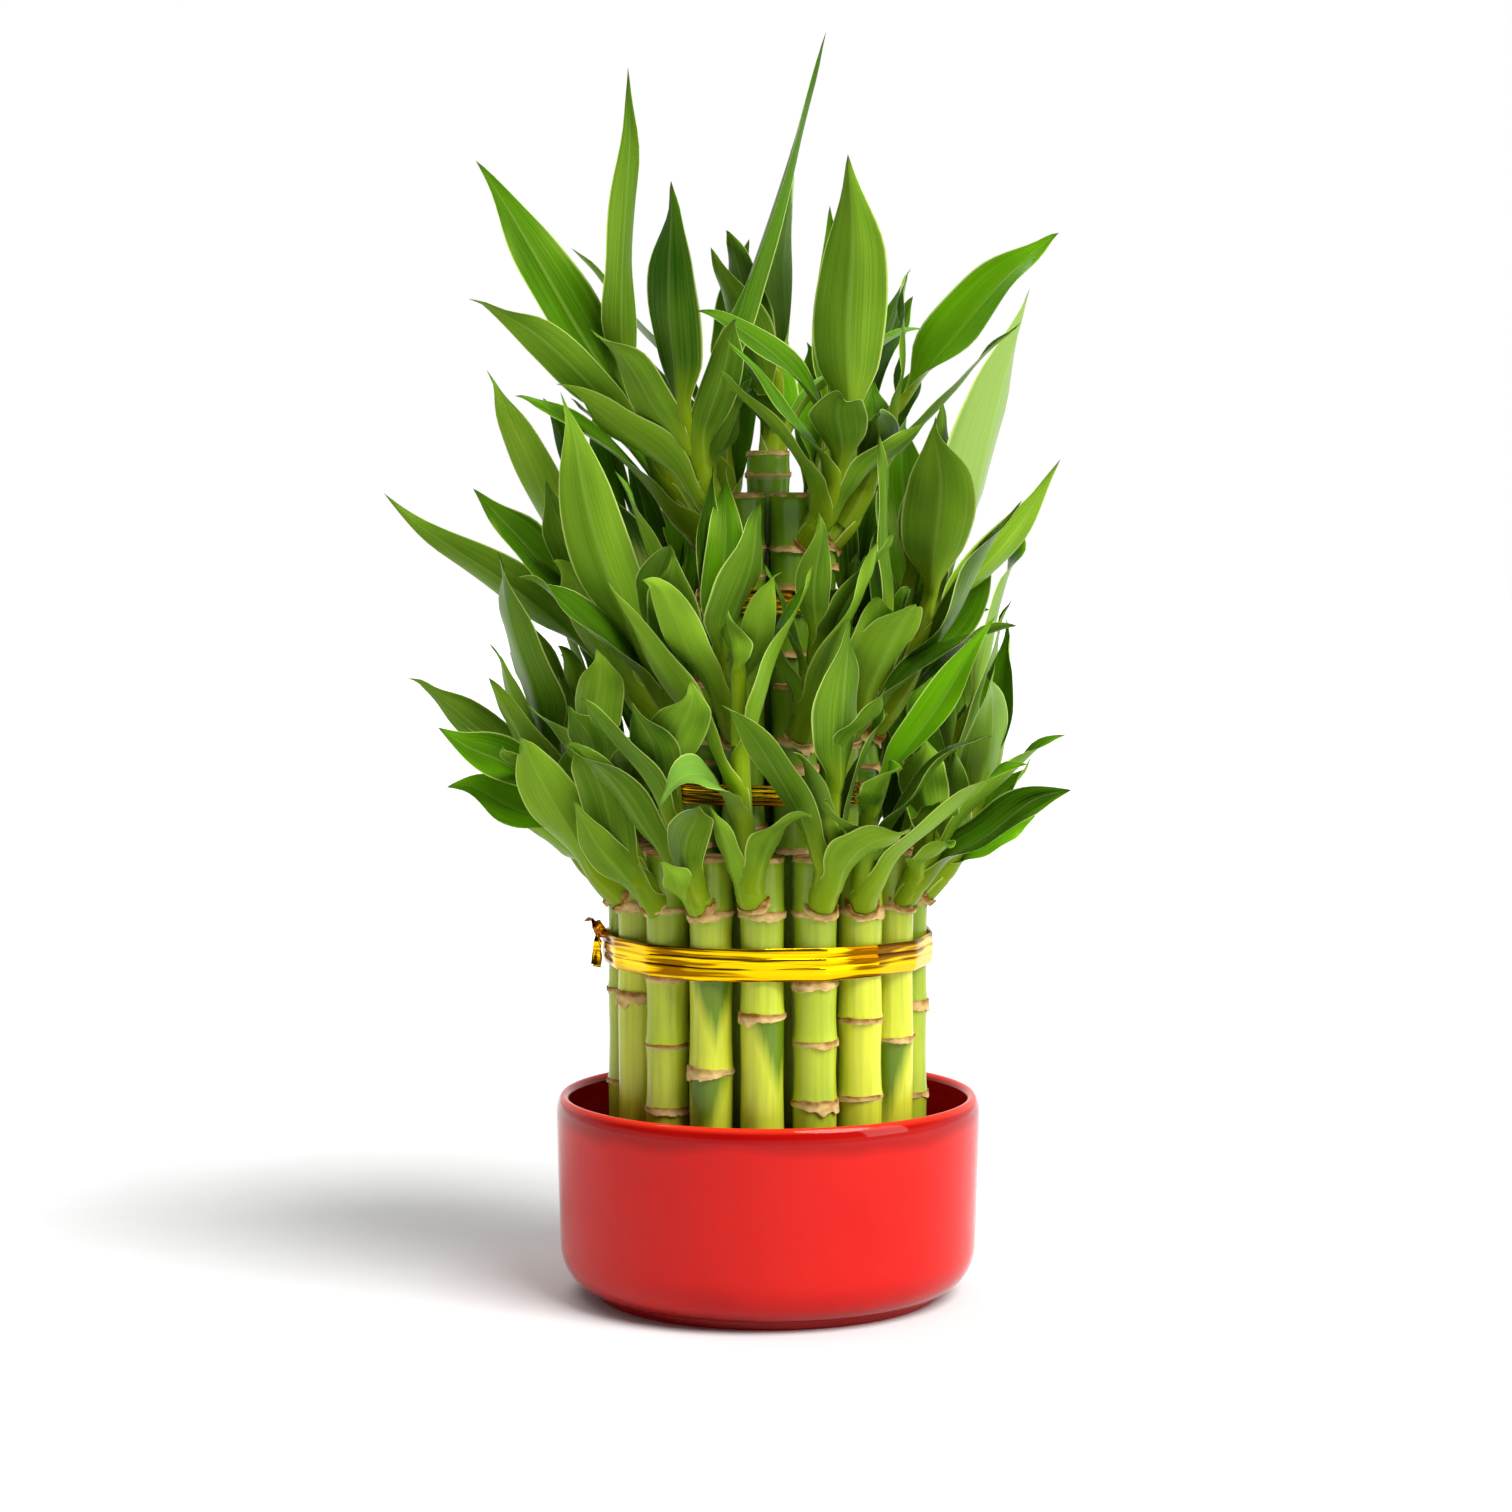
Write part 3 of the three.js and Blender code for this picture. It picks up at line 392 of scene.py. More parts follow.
# Each winding's turns, the size of its film or strand, and how it leans, twists and wanders, in metres,
# radians and radians a metre
LOWER_WRAPS = dict(turns=3, height=0.0038, thickness=0.0009, rise=0.0023, tilt=0.2, wander=0.0016, seed=3)
MIDDLE_STRANDS = dict(turns=5, height=0.0009, thickness=0.0005, rise=0.0011, tilt=0.3, wander=0.0012, seed=11)
UPPER_WRAPS = dict(turns=4, height=0.0019, thickness=0.0003, rise=0.0014, tilt=0.2, wander=0.0014, seed=17)
KNOT_FILM = dict(
    turns=3, height=0.0022, thickness=0.0003, rise=0.0004, tilt=0.8, twist=420, wander=0.003, seed=5)
LOOSE_FILM = dict(
    turns=2, height=0.0024, thickness=0.0003, rise=0.0006, tilt=0.9, twist=300, wander=0.003, seed=8)
ROOT_THREAD = dict(turns=1, height=0.0007, thickness=0.0007, wander=0.0008)

# Water roots: how many, how far from the middle and how high they start, how far they stray in degrees, and
# how far they reach, swing aside, rise and droop
ROOTLETS = 14
ROOTLET_POINTS = 7
ROOTLET_STRAY = (-9, 9)
ROOTLET_START = 41.5
ROOTLET_HEIGHTS = (21, 40)
ROOTLET_REACH = (5, 8)
ROOTLET_ASIDE = (-7, 7)
ROOTLET_RISE = 3
ROOTLET_DROOP = (4, 12)

# Angles in degrees over which an edge stays sharp
SHARP_ANGLE = 40
LEAF_SHARP_ANGLE = 70

# Keeps a divisor over zero; points that are nearer than this, in metres, are merged
TINY = 1e-6

# Studio, in metres: floor and lights, the open light's spread in degrees, the camera's sensor in millimetres,
# and the photo's width and focal length in pixels
FLOOR_RADIUS = 9.0
SOFTBOX = dict(size=(0.5, 0.7), place=(0.9, -0.4, 0.5), target=(0, 0, 0.14))
STRIP = dict(size=(0.9, 0.12), place=(-0.3, 0.25, 0.85), target=(0, 0, 0.1))
OPEN_LIGHT_PLACE = (0.64, -0.64, 1.05)
OPEN_LIGHT_SPREAD = 34
SENSOR_WIDTH = 36
FRAME_PIXELS = 1512
FOCAL_PIXELS = 3272


def between(limits, share):
    """Value at a share of the way between two limits."""
    low, high = limits
    return (1 - share) * low + share * high


def smooth(share, low, high):
    """Smooth step from 0 at low to 1 at high."""
    x = np.clip((np.asarray(share, float) - low) / (high - low), 0, 1)
    return x * x * (3 - 2 * x)


def unit(vectors):
    """Vectors scaled to length one, along the last axis."""
    vectors = np.asarray(vectors, float)
    return vectors / np.linalg.norm(vectors, axis=-1, keepdims=True)


def compass(degrees):
    """Level direction at an angle in degrees from the front towards +X."""
    angle = math.radians(degrees)
    return np.array([math.sin(angle), -math.cos(angle), 0.0])


def turned_level(vector, degrees):
    """A level vector turned about the vertical."""
    angle = math.radians(degrees)
    x, y = vector[0], vector[1]
    return np.array([
        x * math.cos(angle) - y * math.sin(angle),
        x * math.sin(angle) + y * math.cos(angle),
        0.0,
    ])


def make_draw(seed):
    """A function whose every call draws the next share from 0 to 1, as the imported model's layout does."""
    state = seed

    def draw():
        nonlocal state
        state = (state * DRAW_FACTOR + DRAW_STEP) & DRAW_MASK
        return state / (DRAW_MASK + 1)

    return draw


def bezier(controls, shares):
    """Points and unit tangents of a bezier of three or four controls."""
    t = np.asarray(shares, float)[..., None]
    s = 1 - t
    if len(controls) == 3:
        a, b, c = controls
        points = s * s * a + 2 * s * t * b + t * t * c
        slopes = s * (b - a) + t * (c - b)
    else:
        a, b, c, d = controls
        points = s ** 3 * a + 3 * s * s * t * b + 3 * s * t * t * c + t ** 3 * d
        slopes = s * s * (b - a) + 2 * s * t * (c - b) + t * t * (d - c)
    return points, unit(slopes)


def plan_canes(draw):
    """Every cane with its place and the line of its shoot."""
    canes = []
    for tier in TIERS:
        for i in range(tier["count"]):
            outward = compass(tier["first"] + 360 / tier["count"] * i)
            name = f"{tier['name']}_cane_{i + 1:02d}"
            canes.append(SimpleNamespace(
                name=name, tier=tier, index=i, outward=outward, axis=outward * tier["radius"], leaves=[]))
    for cane in canes:
        cane.shoot = shoot_controls(cane, draw)
    return canes


def shoot_controls(cane, draw):
    """Line of the shoot: it leaves the cane sideways just under the cut and turns up."""
    start = cane.axis + UP * (cane.tier["node"] - SHOOT_BELOW_NODE)
    reach = between(SHOOT_REACH, draw())
    rise = between(SHOOT_RISE, draw())
    turn = between(SHOOT_TURN, draw())
    top = start + turned_level(cane.outward, turn) * reach + UP * rise
    if cane.name in SEEN_SHOOTS:
        top = np.array(SEEN_SHOOTS[cane.name]["top"], float)
    side = unit((top - start) * [1, 1, 0])
    bend = start + side * 2 * CANE_RADIUS + UP * SHOOT_BEND_RISE
    return start, bend, top


def leaf_on(cane, at, tip, width, roll, arch, tone=None, twist=None):
    """A leaf with the controls of its midrib, from its root on the shoot to its tip."""
    root, grow = bezier(cane.shoot, at)
    radius = between((SHOOT_FOOT_RADIUS, SHOOT_TOP_RADIUS), at)
    tip = np.array(tip, float)
    flat = (tip - root) * [1, 1, 0]
    heading = unit(flat) if np.linalg.norm(flat) > 1 else cane.outward
    start = root + heading * LEAF_SEAT * radius
    span = tip - start
    length = np.linalg.norm(span)
    rise = start + grow * LEAF_SHEATH_ALONG * length + heading * LEAF_SHEATH_OUT * length
    bow = start + span * LEAF_BOW + UP * arch
    return SimpleNamespace(at=at, heading=heading, midrib=(start, rise, bow, tip), length=length, width=width,
                           roll=roll, tone=tone, twist=twist)


def leaf_outline(shares):
    """Share of the full half width along a leaf: a clasping foot, a belly and a long drawn point."""
    s = np.clip(np.asarray(shares, float), 0, 1)
    swell = np.sin(np.pi / 2 * np.minimum(s / LEAF_BELLY, 1)) ** LEAF_SWELL
    taper = 1 - np.maximum((s - LEAF_BELLY) / (1 - LEAF_BELLY), 0) ** LEAF_TAPER
    return np.where(s < LEAF_BELLY, between((LEAF_FOOT_WIDTH, 1), swell), taper)


def leaf_fold(shares):
    """How far the edges rise over the midrib, as a share of the half width."""
    return LEAF_FOLD_BLADE + LEAF_FOLD_FOOT * (1 - np.clip(shares, 0, 1)) ** 3


def leaf_frames(leaf, shares):
    """Centre, direction, crosswise and upward vectors of a leaf at shares of its length."""
    shares = np.asarray(shares, float)
    centre, along = bezier(leaf.midrib, shares)
    level = np.cross(UP, leaf.heading)
    flat_side = unit(level - along * (along @ level)[..., None])
    turn = smooth(shares, 0, LEAF_ROLL_END)[..., None] * math.radians(leaf.roll)
    across = flat_side * np.cos(turn) + np.cross(along, flat_side) * np.sin(turn)
    return centre, along, across, np.cross(along, across)


def leaf_edge_points(leaf):
    """Tip and edges of a leaf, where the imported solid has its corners."""
    centre, _, across, above = leaf_frames(leaf, LEAF_STATIONS)
    half = (leaf.width / 2 * leaf_outline(LEAF_STATIONS))[:, None]
    raised = centre + above * half * leaf_fold(np.array(LEAF_STATIONS))[:, None]
    return [leaf.midrib[3], *(raised + across * half), *(raised - across * half)]


def corners_met(leaf, corners):
    """How many of a leaf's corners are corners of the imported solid, or none without its tip."""
    met = [corners.find(point * MM)[2] < MATCH_DISTANCE * MM for point in leaf_edge_points(leaf)]
    return sum(met) if met[0] else 0


def find_seen_leaf(cane, seen, corners):
    """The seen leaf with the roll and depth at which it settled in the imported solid.

    One that its own shoot covers there has no corners left, and stays as it was seen.
    """
    best = 0
    chosen = leaf_on(cane, **seen)
    for roll_shift in SEEN_ROLL_SHIFTS:
        for depth_shift in SEEN_DEPTH_SHIFTS:
            tip = np.array(seen["tip"], float) + [0, depth_shift, 0]
            leaf = leaf_on(cane, **{**seen, "tip": tip, "roll": seen["roll"] + roll_shift})
            met = corners_met(leaf, corners)
            if met > best:
                best = met
                chosen = leaf
    return chosen


def find_drawn_leaf(cane, order, draw, corners):
    """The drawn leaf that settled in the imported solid, or None where none did."""
    for attempt in range(LEAF_TRIES):
        at = between((LOWEST_LEAF, 1), (order + draw()) / LEAVES_PER_SHOOT)
        side = 1 if order % 2 == 0 else -1
        heading = turned_level(cane.outward, side * between(LEAF_TURN, draw()))
        climb = math.radians(between(LEAF_CLIMB, draw()) + LEAF_CLIMB_GAIN * at)
        shrink = 1 - LEAF_SHRINK * attempt / LEAF_TRIES
        length = shrink * between(LEAF_LENGTH, draw())
        width = shrink * between(LEAF_WIDTH, draw())
        roll = between(LEAF_ROLL, draw())
        arch = between(LEAF_ARCH, draw())
        root, _ = bezier(cane.shoot, at)
        tip = root + heading * length * math.cos(climb) + UP * length * math.sin(climb)
        if corners.find(tip * MM)[2] < MATCH_DISTANCE * MM:
            return leaf_on(cane, at, tip, width, roll, arch)
    return None


def node_corners(name):
    """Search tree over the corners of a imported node."""
    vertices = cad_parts[name].data.vertices
    corners = KDTree(len(vertices))
    for vertex in vertices:
        corners.insert(vertex.co, vertex.index)
    corners.balance()
    return corners


def grow_leaves(canes, draw):
    """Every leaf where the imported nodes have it, in the order in which the leaves were drawn."""
    corners = {cane.name: node_corners(cane.name) for cane in canes}
    for cane in canes:
        if cane.name in SEEN_SHOOTS:
            for row in SEEN_SHOOTS[cane.name]["leaves"]:
                seen = dict(zip(LEAF_FACTS, row))
                cane.leaves.append(find_seen_leaf(cane, seen, corners[cane.name]))
    for order in range(LEAVES_PER_SHOOT):
        for cane in canes:
            if len(cane.leaves) < LEAVES_PER_SHOOT:
                leaf = find_drawn_leaf(cane, order, draw, corners[cane.name])
                if leaf is not None:
                    cane.leaves.append(leaf)


class Skin:
    """Points, faces, finishes and surface values of one piece, gathered before its mesh is made."""

    def __init__(self):
        self.points = []
        self.values = []
        self.faces = []
        self.finishes = []
        self.count = 0

    def add_points(self, points, *values):
        """Adds points in millimetres, with each of their SURFACE_VALUES; gives the first one's number."""
        first = self.count
        points = np.asarray(points, float)
        spread = [np.broadcast_to(value, points.shape[:-1]).ravel() for value in values]
        self.points.append(points.reshape(-1, 3))
        self.values.append(np.stack(spread, axis=-1))
        self.count += len(self.points[-1])
        return first

    def add_faces(self, faces, finish):
        """Adds faces, each a list of point numbers, all in one finish or each in its own."""
        faces = np.asarray(faces).tolist()
        self.faces.extend(faces)
        self.finishes.extend([finish] * len(faces) if np.isscalar(finish) else list(finish))

    def add_tube(self, points, finish, *values):
        """Adds rows of rings with the faces between them; gives the first point's number."""
        first = self.add_points(points, *values)
        self.add_faces(ring_faces(first, *points.shape[:2]), finish)
        return first

    def add_cap(self, centre, first, sides, finish, *values, at_start=False):
        """Closes a ring of points with a fan from a centre point."""
        middle = self.add_points(centre, *values)
        self.add_faces(cap_faces(middle, first, sides, at_start), finish)


def round_angles(count):
    """Even angles once round, in radians."""
    return np.linspace(0, 2 * np.pi, count, endpoint=False)


def ring_faces(first, rows, sides, closed_rows=False):
    """Quads between rows of rings, which run counter-clockwise about the direction of the rows."""
    row = np.arange(rows if closed_rows else rows - 1)[:, None]
    side = np.arange(sides)[None, :]
    here = first + row * sides
    beyond = first + (row + 1) % rows * sides
    after = (side + 1) % sides
    return np.stack([here + side, here + after, beyond + after, beyond + side], axis=-1).reshape(-1, 4)


def cap_faces(centre, first, sides, at_start):
    """Fan from a centre point to a ring, facing back at the start of a row of rings and on at its end."""
    side = np.arange(sides)
    near = first + side
    far = first + (side + 1) % sides
    middle = np.full(sides, centre)
    return np.stack([middle, far, near] if at_start else [middle, near, far], axis=-1)


def ragged(angles, dice):
    """Uneven line round a circle, from 0 to 1, made of a few waves."""
    counts = np.arange(1, RAGGED_WAVES + 1)
    sizes = dice.uniform(0.3, 1, RAGGED_WAVES) / counts ** 0.7
    starts = dice.uniform(0, 2 * np.pi, RAGGED_WAVES)
    line = (sizes[:, None] * np.sin(counts[:, None] * angles + starts[:, None])).sum(axis=0)
    return (line - line.min()) / (line.max() - line.min())


def add_dry_sheath(skin, centre, along, side, radius, low, high, tone):
    """Thin dry strip round a stem: an outer and an inner wall, joined at both ragged edges."""
    angles = round_angles(SHEATH_SIDES)
    other = np.cross(along, side)
    ring = np.cos(angles)[:, None] * side + np.sin(angles)[:, None] * other
    flare = SHEATH_FLARE * (low / (low.max() + TINY)) ** 2 * (low > SHEATH_LOWEST)
    walls = (
        (radius + SHEATH_LIFT + flare, -low),
        (radius + SHEATH_LIFT, high),
        (radius - SHEATH_LIFT, high),
        (radius - SHEATH_LIFT / 2 + flare * 0.6, -low),
    )
    points = [centre + ring * np.reshape(r, (-1, 1)) + along * np.reshape(z, (-1, 1)) for r, z in walls]
    first = skin.add_points(points, np.array([z for _, z in walls]), angles * radius, tone)
    skin.add_faces(ring_faces(first, len(walls), SHEATH_SIDES, closed_rows=True), DRY_SHEATH)


def facing_of(cane):
    """Side to which a cane's shoot grows, in degrees from the front."""
    return math.degrees(math.atan2(cane.outward[0], -cane.outward[1]))


def scars_of(cane, dice):
    """Ring scars of a cane: those that the photo shows, or else its own staggered rings."""
    if cane.name in SEEN_SCARS:
        return [dict(zip(SCAR_FACTS, row)) for row in SEEN_SCARS[cane.name]]
    stagger = (cane.index * 5 + 3) % 11 - 4
    facing = facing_of(cane)
    scars = []
    for height in cane.tier["rings"]:
        high = dice.uniform(*DRAWN_SHEATH)
        side = facing + dice.uniform(*DRAWN_SHEATH_TURN)
        turn = dice.uniform(*DRAWN_PATCH_TURN)
        patch = facing + turn if abs(turn) < PATCH_TURN else 0
        scars.append(dict(z=height + stagger, high=high, side=side, patch=patch))
    return scars


def cane_radius(heights, scars, low, high):
    """Radius at each height: swollen at the scars and at the node, drawn in between them."""
    rings = np.array([low] + sorted(scar["z"] for scar in scars) + [high])
    swell = sum(np.exp(-((heights - z) / SCAR_SWELL_HEIGHT) ** 2) for z in rings[1:])
    place = np.searchsorted(rings, heights).clip(1, len(rings) - 1)
    below, above = rings[place - 1], rings[place]
    share = np.clip((heights - below) / np.maximum(above - below, 1), 0, 1)
    waist = CANE_WAIST * np.sin(np.pi * share) ** 2
    return CANE_RADIUS * (1 - waist) + SCAR_SWELL * swell


def add_cane(skin, cane, dice):
    """Cane from its foot on the bowl's floor to its cut top, with its scars and dry sheaths."""
    scars = scars_of(cane, dice)
    node = cane.tier["node"]
    cut = cane.tier["cut"]
    heights = list(np.arange(CANE_FOOT, cut, CANE_ROW))
    for z in [scar["z"] for scar in scars] + [node]:
        heights += [z + step for step in SCAR_ROWS]
    heights = np.unique(np.round(heights + [cut - CUT_BEVEL], 2))
    radius = cane_radius(heights, scars, CANE_FOOT, node)
    radius[-1] -= CUT_BEVEL
    angles = round_angles(CANE_SIDES)
    # The skin's tone is random, less the tier's age and painted shade.
    tone = dice.uniform(0, 1) - cane.tier["age_and_shade"]
    uneven = 1 + CANE_UNEVEN[0] * np.sin(2 * angles + dice.uniform(0, 6))
    uneven += CANE_UNEVEN[1] * np.sin(3 * angles + dice.uniform(0, 6))
    ring = np.stack([np.cos(angles), np.sin(angles), np.zeros(CANE_SIDES)], axis=-1) * uneven[:, None]
    points = cane.axis + ring * radius[:, None, None] + UP * heights[:, None, None]
    below, beside = patch_distances(scars, node, cut, heights, angles)
    first = skin.add_tube(points, CANE_SKIN, below, beside, tone)
    add_cane_ends(skin, cane, first, len(heights), ring, radius[-1], tone)
    for scar in scars + [dict(z=node, high=between(NODE_SHEATH, tone % 1), side=facing_of(cane))]:
        reach = float(np.interp(scar["z"], heights, radius))
        add_scar_sheath(skin, cane, scar, reach, dice)
    low = CUT_BAND * (0.4 + 0.6 * ragged(round_angles(SHEATH_SIDES), dice))
    top = cane.axis + UP * cut
    add_dry_sheath(skin, top, UP, EAST, radius[-1], low, np.full(SHEATH_SIDES, SHEATH_EDGE), 1)


def patch_distances(scars, node, cut, heights, angles):
    """How far each point of a cane lies below the next scar, and beside the middle of its green patch."""
    tops = np.array(sorted([scar["z"] for scar in scars] + [node, cut + OVER_CUT]))
    patches = {scar["z"]: scar["patch"] for scar in scars}
    upper = tops[np.searchsorted(tops, heights - 0.2).clip(0, len(tops) - 1)]
    beside = []
    for z in upper:
        middle = math.radians(patches.get(z, 180) - 90)
        turn = (angles - middle + np.pi) % (2 * np.pi) - np.pi
        beside.append(np.abs(turn) * CANE_RADIUS + (0 if patches.get(z, 0) else NO_PATCH))
    return (upper - heights)[:, None], np.array(beside)


def add_scar_sheath(skin, cane, scar, reach, dice):
    """Remains of a dry sheath on a scar, which hang lowest on one side."""
    angles = round_angles(SHEATH_SIDES)
    hang = 0.5 + 0.5 * np.cos(angles - math.radians(scar["side"] - 90))
    edge = 1 - SHEATH_RAGGED + SHEATH_RAGGED * ragged(angles, dice)
    low = SHEATH_EDGE + scar["high"] * (0.1 + 0.9 * hang ** 2) * edge
    high = SHEATH_EDGE + SHEATH_RISE[0] * ragged(angles, dice) ** 2 + SHEATH_RISE[1] * scar["high"] * hang
    low = low * dice.uniform(0.72, 1, SHEATH_SIDES)
    worn = dice.uniform(0.2, 0.7) + WORN_THIN / (WORN_THIN + scar["high"] ** 2)
    add_dry_sheath(skin, cane.axis + UP * scar["z"], UP, EAST, reach, low, high, worn)


def add_cane_ends(skin, cane, first, rows, ring, radius, tone):
    """Flat foot, and a cut top whose dried rim stands over a sunken middle."""
    skin.add_cap(cane.axis + UP * CANE_FOOT, first, CANE_SIDES, CUT_END, 1, 0, tone, at_start=True)
    last = first + (rows - 1) * CANE_SIDES
    cut = cane.tier["cut"]
    side = np.arange(CANE_SIDES)
    pair = np.stack([side, (side + 1) % CANE_SIDES], axis=-1)
    for rims, sunk, share in CUT_RINGS:
        points = cane.axis + ring * (radius - rims * CUT_RIM) + UP * (cut - sunk)
        inner = skin.add_points(points, share, 0, tone)
        skin.add_faces(np.concatenate([last + pair, inner + pair[:, ::-1]], axis=-1), CUT_END)
        last = inner
    skin.add_cap(cane.axis + UP * (cut - CUT_DISH * 0.8), last, CANE_SIDES, CUT_END, 0, 0, tone)


def shoot_radius(shares):
    """Radius of a shoot along its length."""
    return between((SHOOT_FINE_FOOT, SHOOT_TOP_RADIUS), np.clip(shares, 0, 1) ** 0.8)


def shoot_frame(cane, shares):
    """Centre, direction and two side vectors of a shoot."""
    centre, along = bezier(cane.shoot, shares)
    level = np.cross(UP, unit((cane.shoot[2] - cane.shoot[0]) * [1, 1, 0]))
    across = unit(level - along * (along @ level)[..., None])
    return centre, along, across, np.cross(along, across)


def add_shoot(skin, cane, dice):
    """Round shoot with a swelling below each leaf, and a dry collar where it leaves the cane."""
    shares = np.linspace(0, 1, SHOOT_ROWS)
    centre, along, across, above = shoot_frame(cane, shares)
    below = [(shares - leaf.at + SHOOT_NODE_BELOW) / SHOOT_NODE_WIDTH for leaf in cane.leaves]
    nodes = sum(np.exp(-distance ** 2) for distance in below)
    radius = shoot_radius(shares) + SHOOT_NODE_SWELL * np.minimum(nodes, 1)
    angles = round_angles(SHOOT_SIDES)
    ring = across[:, None] * np.cos(angles)[:, None] + above[:, None] * np.sin(angles)[:, None]
    tone = dice.uniform(0, 1)
    points = centre[:, None] + ring * radius[:, None, None]
    first = skin.add_tube(points, SHOOT_SKIN, shares[:, None], angles, tone)
    skin.add_cap(centre[0], first, SHOOT_SIDES, SHOOT_SKIN, 0, 0, tone, at_start=True)
    last = first + (SHOOT_ROWS - 1) * SHOOT_SIDES
    skin.add_cap(centre[-1] + along[-1] * 2 * SHOOT_TOP_RADIUS, last, SHOOT_SIDES, SHOOT_SKIN, 1, 0, tone)
    add_collar(skin, cane, dice)


def add_collar(skin, cane, dice):
    """Ragged dry collar round the foot of a shoot, just outside the cane."""
    shares = np.linspace(0, 1, COLLAR_STEPS)
    centre, along, across, _ = shoot_frame(cane, shares)
    out = np.linalg.norm((centre - cane.axis)[:, :2], axis=1)
    at = int(np.argmax(out > CANE_RADIUS + COLLAR_CLEAR))
    angles = round_angles(SHEATH_SIDES)
    low = 0.3 + 0.9 * ragged(angles, dice)
    high = COLLAR_HEIGHT * (0.2 + 0.8 * ragged(angles, dice) ** 3) * dice.uniform(0.6, 1, SHEATH_SIDES)
    sheaths = LEAF_SHEATH_GAP + LEAF_SHEATH_STEP * (len(cane.leaves) - 1) * 0.8
    radius = float(shoot_radius(shares[at])) + sheaths + COLLAR_LIFT
    tone = dice.uniform(0.1, 1.1)
    add_dry_sheath(skin, centre[at], along[at], across[at], radius, low, high, tone)


def sheath_rows(cane, leaf, rank):
    """Centre, crosswise and upward vectors and reach of a leaf's sheath, which wraps the shoot."""
    length = float(np.linalg.norm(cane.shoot[2] - cane.shoot[0]))
    reach = max(min(LEAF_SHEATH_LENGTH / length, leaf.at - LEAF_SHEATH_LOWEST), LEAF_SHEATH_SHORTEST)
    shares = leaf.at + np.linspace(-reach, 0, LEAF_SHEATH_ROWS + 1)
    centre, along = bezier(cane.shoot, shares)
    out = unit(leaf.heading - along * (along @ leaf.heading)[..., None])
    grip = shoot_radius(shares) + LEAF_SHEATH_GAP + LEAF_SHEATH_STEP * rank * np.linspace(0.4, 1, len(shares))
    return centre + out * grip[:, None], np.cross(along, out), -out, grip


def blade_rows(leaf, shares, sheath, dice):
    """Centre, crosswise and upward vectors of a leaf's blade, which sets out from its sheath and may turn."""
    sheath_end, sheath_across, sheath_above = [rows[-1] for rows in sheath]
    centre, _, across, above = leaf_frames(leaf, shares)
    sway = np.sin(dice.uniform(*LEAF_SWAY_TURNS) * shares + dice.uniform(0, 6))
    sway = LEAF_SWAY * np.sin(np.pi * shares) * sway
    step = (sheath_end - centre[0]) * (1 - smooth(shares, 0, 0.3))[:, None]
    centre = centre + step + across * sway[:, None]
    turn = dice.uniform(-LEAF_TWIST, LEAF_TWIST) * smooth(shares, 0.25, 1)
    if leaf.twist is not None:
        turn = leaf.twist * smooth(shares, 0.05, 0.5)
    turn = turn + dice.uniform(-LEAF_TIP_TWIST, LEAF_TIP_TWIST) * smooth(shares, 0.65, 1)
    turn = np.radians(turn)[:, None]
    turned_across = across * np.cos(turn) + above * np.sin(turn)
    turned_above = above * np.cos(turn) - across * np.sin(turn)
    ease = smooth(shares, -0.02, 0.18)[:, None]
    across = unit(sheath_across * (1 - ease) + turned_across * ease)
    above = sheath_above * (1 - ease) + turned_above * ease
    return centre, across, unit(np.cross(np.cross(across, above), across))


def leaf_sections(leaf, shares, grip, dice):
    """Cross-sections of a leaf: curled round the shoot at its foot, then open, folded and wavy."""
    cross = np.array(LEAF_CROSS)
    size = np.abs(cross)
    wrap = between((LEAF_SHEATH_WRAP, LEAF_OPEN_WRAP), smooth(shares, -0.06, LEAF_OPEN_END)) * np.pi
    flat = smooth(shares, 0.03, LEAF_OPEN_END + 0.06)[:, None]
    half = leaf.width / 2 * leaf_outline(shares) * (1 - LEAF_POINT_DRAW * smooth(shares, 0.64, 0.94))
    fold = LEAF_FOLD_BLADE * (dice.uniform(*LEAF_FOLD_SPREAD) - 1) * smooth(shares, 0.1, 0.4)
    fold = leaf_fold(shares) + fold
    lift = half[:, None] * fold[:, None] * size ** 1.35
    curl_x = grip[:, None] * np.sin(cross * wrap[:, None])
    curl_y = grip[:, None] * (1 - np.cos(cross * wrap[:, None]))
    x = curl_x * (1 - flat) + half[:, None] * cross * flat
    y = curl_y * (1 - flat) + lift * flat
    free = smooth(shares, 0.2, 0.5) * (1 - smooth(shares, 0.85, 1))
    phase = dice.uniform(0, 2 * np.pi, 4)
    y = y + (LEAF_WAVE * free * np.sin(LEAF_WAVE_TURNS * shares + phase[0]))[:, None]
    waves = dice.uniform(*LEAF_RIPPLE_TURNS, 2)
    ripple = (np.sin(waves[0] * shares + phase[1])[:, None] * (cross > 0)
              + np.sin(waves[1] * shares + phase[2])[:, None] * (cross < 0))
    return x, y + LEAF_RIPPLE * free[:, None] * ripple * size ** 2


def leaf_rings(rows, shares, x, y):
    """Points round each cross-section of a leaf: its face, and back again along its underside."""
    centre, across, above = rows
    slope_x = np.gradient(x, axis=1)
    slope_y = np.gradient(y, axis=1)
    normal = np.stack([-slope_y, slope_x], axis=-1) / -np.hypot(slope_x, slope_y)[..., None].clip(TINY)
    inner = 1 - np.abs(LEAF_CROSS) ** 2
    thick = (LEAF_EDGE_THICKNESS + (LEAF_FINE_THICKNESS - LEAF_EDGE_THICKNESS) * inner) / 2
    thick = thick * (1 - 0.3 * smooth(shares, 0.8, 1))[:, None]

    def placed(offset):
        px = x + offset * normal[..., 0]
        py = y + offset * normal[..., 1]
        return centre[:, None] + across[:, None] * px[..., None] + above[:, None] * py[..., None]

    face = placed(thick)
    face[:, [0, -1]] = placed(0 * thick)[:, [0, -1]]
    return np.concatenate([face, placed(-thick)[:, -2:0:-1]], axis=1)


